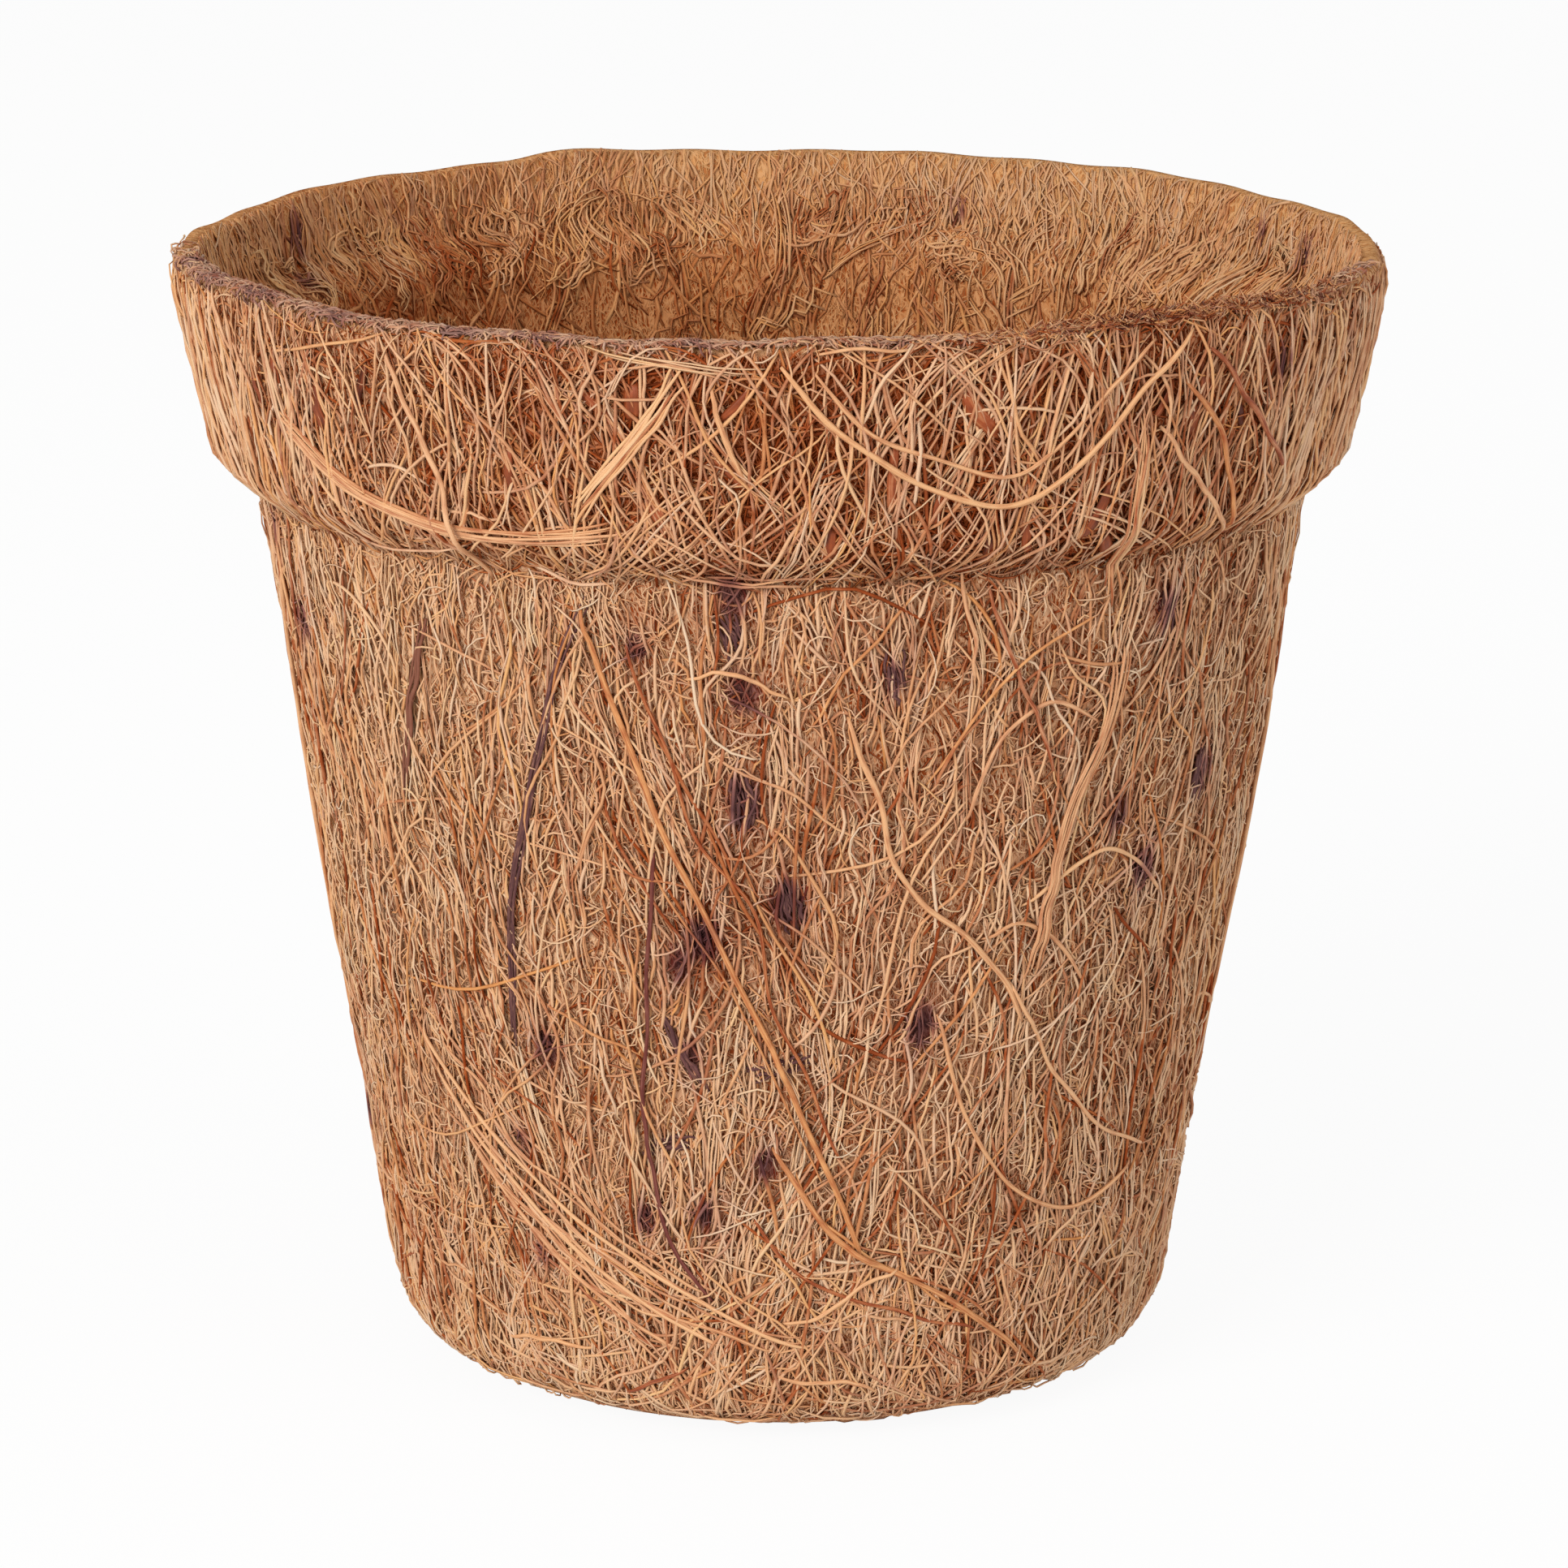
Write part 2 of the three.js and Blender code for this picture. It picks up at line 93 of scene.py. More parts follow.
WALL_COURSES = {
    "wall_long_diagonal": ("strand", "orange", [(-21, 1.07), (-13, 1.3), (-4, 1.48), (2, 1.6), (11, 1.78)]),
    "wall_dark_hook": ("thread", "dark", [(-14, 1.32), (-16, 1.5), (-17, 1.62), (-15, 1.75), (-9, 1.83)]),
    "wall_short_arc": ("thread", "light", [(-10, 1.14), (-5, 1.13), (1, 1.16)]),
    "wall_s_curve": ("strand", "tan", [(7, 1.18), (11, 1.28), (14, 1.36), (25, 1.45), (31, 1.53)]),
    "wall_branch": ("thread", "tan", [(24, 1.43), (30, 1.42), (36, 1.46), (40, 1.5)]),
    "wall_light_arc": ("thread", "light", [(29, 1.4), (37, 1.36), (43, 1.36), (52, 1.42)]),
    "wall_right_hook": ("thread", "tan", [(21, 1.3), (24, 1.22), (30, 1.18), (37, 1.21)]),
    "wall_right_bundle": ("bundle", "tan", [(39, 1.13), (38, 1.22), (34, 1.32), (31, 1.49)]),
    "wall_red_strand": ("thread", "brown", [(22, 1.05), (25, 1.13), (32, 1.26)]),
    "wall_thin_drop": ("thread", "tan", [(18, 1.03), (20, 1.08), (21, 1.15)]),
    "wall_lower_loop": ("thread", "tan", [(19, 1.51), (24, 1.63), (32, 1.72), (43, 1.76), (55, 1.73)]),
    "wall_inner_loop": ("thread", "light", [(28, 1.48), (36, 1.59), (46, 1.67), (58, 1.72)]),
}
HEEL_COURSES = {
    "heel_sweep_upper": ("thread", "light", [(-52, 1.57), (-41, 1.66), (-22, 1.78), (-3, 1.86), (4, 1.88)]),
    "heel_sweep_middle": ("thread", "light", [(-50, 1.61), (-40, 1.7), (-24, 1.81), (-8, 1.88)]),
    "heel_sweep_lower": ("thread", "tan", [(-46, 1.67), (-36, 1.76), (-26, 1.83), (-14, 1.89)]),
    "heel_diagonal": ("strand", "orange", [(-1, 1.65), (7, 1.75), (18, 1.81), (28, 1.86), (36, 1.92)]),
    "heel_left_strand": ("thread", "light", [(-43, 1.91), (-36, 1.9), (-27, 1.9)]),
    "heel_short_strand": ("thread", "brown", [(-23, 1.95), (-19, 1.93), (-13, 1.91)]),
    "heel_wave": ("thread", "tan", [(-1, 1.91), (4, 1.92), (10, 1.92), (14, 1.94)]),
    "heel_arc": ("thread", "light", [(0, 1.85), (6, 1.84), (11, 1.81), (16, 1.79)]),
}
BACK_COURSES = {
    "left_collar_strand": ("strand", "tan", [(-96, 0.2), (-88, 0.5), (-82, 0.95)]),
    "left_wall_strand": ("strand", "light", [(-70, 1.1), (-78, 1.3), (-82, 1.55)]),
    "left_heel_arc": ("thread", "tan", [(-100, 1.7), (-88, 1.78), (-72, 1.8)]),
    "right_collar_strand": ("strand", "orange", [(78, 0.25), (86, 0.55), (96, 0.9)]),
    "right_wall_strand": ("strand", "tan", [(72, 1.12), (80, 1.35), (76, 1.6)]),
    "right_heel_arc": ("thread", "light", [(84, 1.7), (96, 1.8), (112, 1.78)]),
    "back_collar_arc": ("strand", "light", [(150, 0.12), (160, 0.5), (172, 0.65), (186, 0.5), (196, 0.12)]),
    "back_collar_bundle": ("bundle", "orange", [(205, 0.15), (212, 0.5), (216, 0.94), (217, 1.08)]),
    "back_wall_diagonal": ("strand", "orange", [(150, 1.08), (160, 1.3), (174, 1.5), (192, 1.75)]),
    "back_wall_wave": ("thread", "tan", [(203, 1.15), (212, 1.3), (206, 1.45), (214, 1.6)]),
    "back_wall_loop": ("thread", "light", [(122, 1.3), (128, 1.48), (140, 1.54), (152, 1.46)]),
    "back_heel_sweep": ("thread", "tan", [(140, 1.78), (160, 1.85), (184, 1.9)]),
}
HUSK_COURSES = {
    "husk_long_strip": ("wide", "husk", [(-20, 1.06), (-24, 1.14), (-29, 1.29), (-33, 1.42), (-35, 1.57)]),
    "husk_left_strip": ("wide", "red", [(-39, 1.07), (-43, 1.17), (-49, 1.33)]),
    "husk_slant_strip": ("narrow", "husk", [(-14, 1.49), (-13, 1.53), (-9, 1.59)]),
    "husk_cross_strip": ("narrow", "husk", [(-4, 1.57), (0, 1.56), (4, 1.55)]),
    "husk_low_strip": ("narrow", "husk", [(-18, 1.66), (-14, 1.65), (-10, 1.65)]),
    "husk_collar_flake": ("wide", "husk", [(-6, 1.07), (-5, 1.09), (-4, 1.12)]),
    "husk_wall_flake": ("wide", "husk", [(-5, 1.24), (-4, 1.27), (-4, 1.3)]),
    "husk_middle_flake": ("wide", "husk", [(0, 1.35), (1, 1.38), (2, 1.41)]),
    "husk_upper_flake": ("wide", "husk", [(12, 1.11), (12, 1.14), (13, 1.17)]),
    "husk_right_flake": ("wide", "husk", [(45, 1.08), (46, 1.11), (46, 1.14)]),
    "husk_side_flake": ("wide", "husk", [(58, 1.27), (57, 1.3), (57, 1.34)]),
    "husk_back_strip": ("wide", "husk", [(178, 1.1), (176, 1.25), (180, 1.4)]),
}
STRAND_PIECES = {
    "collar_strands": (COLLAR_COURSES, "strand_light"),
    "wall_strands": (WALL_COURSES, "strand_orange"),
    "heel_strands": (HEEL_COURSES, "strand_tan"),
    "back_strands": (BACK_COURSES, "strand_tan"),
}

# Tone, warmth and stain of the coarse strands.
STRAND_TINTS = {
    "light": (0.7, 0.62, 0),
    "tan": (0.63, 0.6, 0),
    "orange": (0.52, 0.9, 0),
    "brown": (0.34, 0.5, 0),
    "dark": (0.34, 0.3, 0.62),
}

# How many thinner fibres run beside a strand.
COMPANY = {
    "wall_long_diagonal": 2,
    "heel_sweep_upper": 6,
    "heel_sweep_middle": 6,
    "heel_sweep_lower": 6,
    "heel_diagonal": 3,
}

# Husk stains in the felt, as (degrees, depth, reach in millimetres).
OUTER_STAINS = (
    (-5, 1.05, 2.2), (-4, 1.27, 2.4), (1, 1.38, 2.6), (12, 1.14, 1.6), (17, 1.52, 2.4), (-30, 1.56, 1.8),
    (-18, 1.74, 1.6), (-10, 1.73, 1.7), (-2, 1.67, 1.5), (-15, 1.11, 1.4), (-4, 1.155, 2.0), (45, 1.10, 1.8),
    (58, 1.30, 2.0), (48, 1.39, 2.2), (42, 1.32, 1.6), (-9, 1.42, 2.6), (-12, 1.45, 1.8), (52, 0.3, 1.6),
    (-35, 1.67, 1.2), (-34, 1.80, 1.2), (-11, 1.55, 1.6), (84, 1.35, 2.2), (112, 1.2, 2.4), (131, 1.62, 2.0),
    (158, 1.12, 1.8), (170, 1.55, 2.6), (195, 1.3, 2.2), (214, 1.7, 1.8), (236, 1.18, 2.4), (252, 1.48, 2.0),
    (274, 1.75, 2.2), (288, 1.06, 1.8), (294, 1.15, 2.0),
)
INNER_STAINS = (
    (-117, 0.2, 2.4), (-114, 0.42, 1.9), (108, 0.25, 2.4), (118, 0.2, 1.6), (160, 0.28, 1.4),
    (118, 1.2, 2.0), (-160, 1.25, 1.8),
)
RIM_STAINS = (
    (-76, 0, 6.0), (-66, 0, 5.0), (-56, 0, 5.0), (-44, 0, 4.0), (-30, 0, 4.5), (-22, 0, 5.0), (-8, 0, 4.0),
)

# A stain has a dark core that ends at an edge, and a faint halo. Each has its strength and how fast it
# falls off. Stains are taller than they are wide.
STAIN_CORE, STAIN_FALL, STAIN_EDGE = 1.9, 2.6, 0.35
HALO_CORE, HALO_FALL = 0.32, 0.4
STAIN_SQUASH = 0.65

# Layers of streaks in the felt, as (turn in radians, size across and along in mm, lines, strength).
FELT_STREAKS = (
    (0.08, (1.2, 6.0), 58, 0.65),
    (0.8, (1.3, 4.0), 54, 0.8),
    (-0.7, (1.3, 4.0), 54, 0.9),
    (0.25, (1.1, 5.0), 56, 1.0),
)

# Slow waves over the felt, as (size, waves round the pot, radians for each millimetre up or down, start).
BULGE_WAVES = ((0.45, 3, 0.05, 0.6), (0.35, 7, -0.09, 2.1), (0.3, 13, 0.17, 0), (0.2, 23, -0.31, 0))
RIM_WAVES = ((0.14, 5, 0, 1), (0.1, 11, 0, 0.4), (0.08, 29, 0, 0))
GRAIN_WAVES = ((0.1, 4, 0.06, 0), (0.1, 9, -0.1, 1.2), (0.08, 17, 0, 0))
PATCH_WAVES = ((0.035, 3, 0.1, 0.5), (0.035, 8, -0.14, 0), (0.03, 15, 0.23, 2))


def length_property(name, description, default):
    return FloatProperty(name=name, description=description, default=default, unit="LENGTH")


def count_property(name, description, default):
    return IntProperty(name=name, description=description, default=default, min=100)


def colour_property(name, description, default):
    return FloatVectorProperty(name=name, description=description, default=default, subtype="COLOR", size=3)


class CoirShape(bpy.types.PropertyGroup):
    """Sizes of the felt that the fibres lie on"""

    rim_radius: length_property("Rim radius", "Outside of the rim", WALL_BOX[1].x)
    height: length_property("Height", "Standing face to rim", WALL_BOX[1].z)
    collar_height: length_property("Collar height", "Rim to the collar's foot", 16.6 * MM)
    collar_flare: length_property("Collar flare", "Rim wider than the collar's foot", 3.4 * MM)
    shoulder_step: length_property("Shoulder step", "Collar's foot wider than the wall", 3.3 * MM)
    shoulder_drop: length_property("Shoulder drop", "Height of the step", 3 * MM)
    wall_flare: length_property("Wall flare", "Wall's top wider than its foot", 11.3 * MM)
    heel_round: length_property("Heel round", "Rounding of the heel", 7 * MM)
    bend_round: length_property("Bend round", "Rounding of the collar's foot", 3 * MM)
    fold_round: length_property("Fold round", "Rounding of the fold under the collar", 0.8 * MM)
    rim_round: length_property("Rim round", "Rounding of the trimmed rim", 0.8 * MM)
    thickness: length_property("Felt thickness", "Thickness of the wall", 2.8 * MM)
    ledge_depth: length_property("Ledge depth", "Rim to the ledge inside the collar", 5.8 * MM)
    ledge_drop: length_property("Ledge drop", "Height of that slanted ledge", 3 * MM)
    base_thickness: length_property("Base thickness", "Thickness of the base", 3.2 * MM)
    lip_radius: length_property("Lip radius", "Where the wall's flange ends under the base", 20 * MM)
    seat_radius: length_property("Seat radius", "Outside of the base", 24 * MM)
    sink: length_property("Felt depth", "How far the felt lies under its fibres", 0.45 * MM)
    wobble: length_property("Unevenness", "How far the pressed felt bulges and dips", 0.3 * MM)


class CoirFibres(bpy.types.PropertyGroup):
    """Widths and numbers of the fibres"""

    thread_width: length_property("Thread", "Width of the finest coarse strand", 0.45 * MM)
    strand_width: length_property("Strand", "Width of a coarse strand", 0.6 * MM)
    bundle_width: length_property("Bundle", "Width of a bundle", 1 * MM)
    narrow_width: length_property("Narrow husk", "Width of a narrow husk strip", 1.1 * MM)
    wide_width: length_property("Wide husk", "Width of a wide husk strip", 1.5 * MM)
    husk_thickness: length_property("Husk thickness", "Thickness of the husk skin", 0.4 * MM)
    wall_count: count_property("Wall fibres", "Fine fibres on the wall", 20000)
    collar_count: count_property("Collar fibres", "Fine fibres on the collar", 6200)
    inside_count: count_property("Inside fibres", "Fine fibres on the inside", 4400)
    disc_count: count_property("Base fibres", "Fine fibres on the floor and on the underside", 480)
    rim_count: count_property("Rim ends", "Cut fibre ends on the rim", 3600)
    seed: IntProperty(name="Seed", description="Start of the random lay", default=11)


class CoirColours(bpy.types.PropertyGroup):
    """Colours of the fibres, from the depth of the felt to the palest fibre"""

    # Deep is the darkest coir, which the felt shows in its gaps: partly painted shade.
    deep: colour_property("Deep", "Gaps in the felt", (0.065, 0.011, 0.002))
    brown: colour_property("Brown", "Dark fibres", (0.30, 0.073, 0.023))
    tan: colour_property("Tan", "Common fibres", (0.63, 0.384, 0.24))
    pale: colour_property("Pale", "Palest fibres", (0.685, 0.51, 0.352))
    warm: colour_property("Warm", "Tint of golden fibres", (1.0, 0.75, 0.42))
    mauve: colour_property("Mauve", "Tint round the stains", (0.6, 0.4, 0.5))
    stain: colour_property("Stain", "Husk stains", (0.06, 0.022, 0.026))
    cut: colour_property("Cut ends", "Trimmed ends on the rim", (0.36, 0.205, 0.155))


class CoirStage(bpy.types.PropertyGroup):
    """Floor, light and camera"""

    floor: colour_property("Floor", "Colour of the floor", (0.9, 0.9, 0.89))
    key_power: FloatProperty(
        name="Key light", description="Soft light from the upper left", default=15.5, unit="POWER")
    fill_power: FloatProperty(
        name="Fill light", description="Soft light from the right", default=5.0, unit="POWER")
    sky: FloatProperty(name="Surrounding light", description="Even light from all round", default=0.52)
    distance: length_property("Camera distance", "Camera to the pot", 476 * MM)
    elevation: FloatProperty(
        name="Camera elevation", description="Camera above the horizon",
        default=math.radians(14.9), subtype="ANGLE")
    aim_height: length_property("Aim height", "Height that the camera looks at", 47 * MM)
    aim_side: length_property("Aim side", "How far right the camera looks", 0.27 * MM)
    lens: FloatProperty(name="Lens", description="Focal length on a 36 mm sensor", default=130.4)


def settings():
    scene = bpy.context.scene
    return scene.coir_shape, scene.coir_fibres, scene.coir_colours, scene.coir_stage


# The felt's outline

def unit(vector):
    return vector / np.linalg.norm(vector)


def left_of(vector):
    return np.array([-vector[1], vector[0]])


def rounded(corners, rounds, steps=10):
    """A run of straight lines with its inner corners rounded, as an array of (radius, height)."""
    points = [corners[0]]
    for before, corner, after, rounding in zip(corners, corners[1:], corners[2:], rounds):
        arriving, leaving = unit(corner - before), unit(after - corner)
        turn = math.atan2(left_of(arriving) @ leaving, arriving @ leaving)
        start = corner - arriving * rounding * math.tan(abs(turn) / 2)
        centre = start + left_of(arriving) * math.copysign(rounding, turn)
        for share in np.linspace(0, turn, steps):
            c, s = math.cos(share), math.sin(share)
            points.append(centre + np.array([[c, -s], [s, c]]) @ (start - centre))
    points.append(corners[-1])
    return np.array(points)


def at_height(start, end, height):
    """The point at a height on the line through two points."""
    return start + (end - start) * (height - start[1]) / (end[1] - start[1])


def outer_run():
    """Corners of the pot's outside, from its axis on the ground up to the rim."""
    shape = settings()[0]
    foot = shape.rim_radius - shape.collar_flare
    wall = foot - shape.shoulder_step
    foot_height = shape.height - shape.collar_height
    return np.array([
        (0, 0), (wall - shape.wall_flare, 0), (wall, foot_height - shape.shoulder_drop), (foot, foot_height),
        (shape.rim_radius, shape.height),
    ])


def moved_left(run, distance):
    """A run of straight lines moved to its left, with mitred corners, up to the same height."""
    along = [unit(after - before) for before, after in zip(run, run[1:])]
    moved = []
    for i, point in enumerate(run):
        before, after = left_of(along[max(i - 1, 0)]), left_of(along[min(i, len(along) - 1)])
        mitre = unit(before + after)
        moved.append(point + mitre * distance / (mitre @ before))
    moved[-1] = at_height(moved[-2], moved[-1], run[-1][1])
    return np.array(moved)


def line_down(run, rounds):
    """A rounded run, from the rim down to the axis."""
    return rounded(run, np.maximum(rounds, LEAST_ROUND))[::-1]


def outside_line(inset):
    """The pot's outside, drawn one inset into the felt."""
    shape = settings()[0]
    rounds = shape.heel_round - inset, shape.fold_round + inset, shape.bend_round - inset
    return line_down(moved_left(outer_run(), inset), rounds)


def inside_line(inset):
    """The pot's inside, whose ledge lies higher than the step outside, drawn one inset into the felt."""
    shape = settings()[0]
    depth = shape.thickness - inset
    run = moved_left(outer_run(), shape.thickness)
    ledge = shape.height - shape.ledge_depth
    run[2] = at_height(run[1], run[2], ledge - shape.ledge_drop)
    run[3] = at_height(run[3], run[4], ledge)
    rounds = shape.heel_round - depth, shape.fold_round + depth, shape.bend_round - depth
    return line_down(moved_left(run, -inset), rounds)


def rim_line(inset, reach):
    """The trimmed rim's section, from the outside over the top to the inside, one inset into the felt."""
    shape = settings()[0]
    outer, inner = outside_line(inset), inside_line(inset)

    def at(line, height):
        return np.array([np.interp(-height, -line[:2, 1], line[:2, 0]), height])

    top, low = shape.height - inset, shape.height - reach
    return rounded([at(outer, low), at(outer, top), at(inner, top), at(inner, low)], [shape.rim_round] * 2)


def lengths_along(line):
    return np.concatenate([[0], np.cumsum(np.linalg.norm(np.diff(line, axis=0), axis=1))])


def resampled(line, count):
    length = lengths_along(line)
    even = np.linspace(0, length[-1], count)
    return np.stack([np.interp(even, length, line[:, 0]), np.interp(even, length, line[:, 1])], -1)


def course_height(depth):
    """Height of a course's depth: 0 at the rim, 1 at the collar's foot, 2 at the ground."""
    shape = settings()[0]
    depth = np.asarray(depth, float)
    foot_height = shape.height - shape.collar_height
    return np.where(depth < 1, shape.height - depth * shape.collar_height, (2 - depth) * foot_height)


def fold_height():
    """Height of the fold where the collar's shoulder meets the wall."""
    shape = settings()[0]
    return shape.height - shape.collar_height - shape.shoulder_drop


def signed_degrees(angle):
    return np.degrees(np.angle(np.exp(1j * angle)))


def rise(value, middle, reach):
    """From 0 well below a middle to 1 well above it."""
    return 1 / (1 + np.exp((middle - value) / reach))


def bell(value, middle, reach):
    """1 at a middle, falling to 0 on both sides of it."""
    return np.exp(-((value - middle) / reach) ** 2)


def waves(table, angle, distance):
    """The sum of slow waves at an angle and a height or depth."""
    along = distance / MM
    return sum(size * np.sin(turns * angle + pitch * along + start) for size, turns, pitch, start in table)


def bulge(angle, height):
    """How far the pressed felt stands out at a place. It stands true at the ground."""
    grown = np.clip(height / BULGE_START, 0, 1)
    return settings()[0].wobble * waves(BULGE_WAVES, angle, height) * grown


def raggedness(angle, height):
    """How far the felt near the trimmed rim stands above its mean height."""
    tatters = RAGGED_RISE + RAGGED_SPREAD * np.sin(47 * angle) * np.sin(31 * angle + 1)
    front_right = tatters * bell(signed_degrees(angle), middle=RAGGED_MIDDLE, reach=15)
    past_step = signed_degrees(np.radians(RIM_STEP) - angle)
    back_left = RIM_STEP_RISE * rise(past_step, middle=0, reach=1.2) * bell(past_step, middle=0, reach=28)
    near_rim = bell(height, middle=settings()[0].height, reach=5 * MM)
    return MM * (waves(RIM_WAVES, angle, height) + front_right + back_left) * near_rim


class Face:
    """One side of the felt: a line turned round the pot's axis. Places are (angle, distance along it)."""

    SPACING = 0.3 * MM
    LEAST_RADIUS = 5 * MM

    def __init__(self, line, side):
        length = lengths_along(line)
        self.depth = np.linspace(0, length[-1], int(length[-1] / self.SPACING))
        self.radius = np.interp(self.depth, length, line[:, 0])
        self.height = np.interp(self.depth, length, line[:, 1])
        self.out_radius = -side * np.gradient(self.height, self.depth)
        self.out_height = side * np.gradient(self.radius, self.depth)

    @classmethod
    def outside(cls):
        return cls(outside_line(0), 1)

    @classmethod
    def inside(cls):
        return cls(inside_line(0), -1)

    def at(self, angle, depth, lift):
        """Points above the felt and the directions out of it."""
        height = np.interp(depth, self.depth, self.height)
        out_r = np.interp(depth, self.depth, self.out_radius)
        out_z = np.interp(depth, self.depth, self.out_height)
        radius = np.interp(depth, self.depth, self.radius) + lift * out_r + bulge(angle, height)
        height = height + lift * out_z + raggedness(angle, height)
        sine, cosine = np.sin(angle), np.cos(angle)
        points = np.stack([radius * sine, -radius * cosine, height], -1)
        return points, np.stack([out_r * sine, -out_r * cosine, out_z], -1)

    def width_of_turn(self, depth):
        """Metres for each radian of angle."""
        return np.maximum(np.interp(depth, self.depth, self.radius), self.LEAST_RADIUS)

    def depth_at(self, height):
        """Distance down the face to a height on its wall."""
        last = int(np.argmin(self.height)) + 1
        return np.interp(-np.asarray(height), -self.height[:last], self.depth[:last])

    def course_depth(self, depth):
        """Distance down the face to a course's depth."""
        return self.depth_at(course_height(depth))


class Disc:
    """A flat side of the base. Places are (across, along)."""

    SWELL = 0.15 * MM
    SWELL_ACROSS = 4 * MM
    SWELL_ALONG = 5 * MM

    def __init__(self, radius, height, side):
        self.radius, self.height, self.side = radius, height, side

    def at(self, across, along, lift):
        pull = np.minimum(1, self.radius / np.maximum(np.hypot(across, along), TINY))
        swell = np.sin(across / self.SWELL_ACROSS) + np.sin(along / self.SWELL_ALONG + 1)
        height = self.height + self.side * (lift + self.SWELL * swell)
        points = np.stack([across * pull, along * pull, height], -1)
        return points, np.broadcast_to((0.0, 0.0, float(self.side)), points.shape)

    def width_of_turn(self, depth):
        return np.ones_like(depth)


# Fibres

def stain_at(points, stains, face):
    """How dark a husk stain is at points of the felt, from 0 to 1."""
    dark = np.zeros(points.shape[:-1])
    for degrees, depth, reach in stains:
        middle = face.at(np.radians(degrees), face.course_depth(depth), 0)[0]
        offset = (points - middle) / (reach * MM)
        offset[..., 2] *= STAIN_SQUASH
        distance = (offset ** 2).sum(-1)
        dark = np.maximum(dark, STAIN_CORE * np.exp(-STAIN_FALL * distance) - STAIN_EDGE)
        dark = np.maximum(dark, HALO_CORE * np.exp(-HALO_FALL * distance))
    return np.clip(dark, 0, 1)


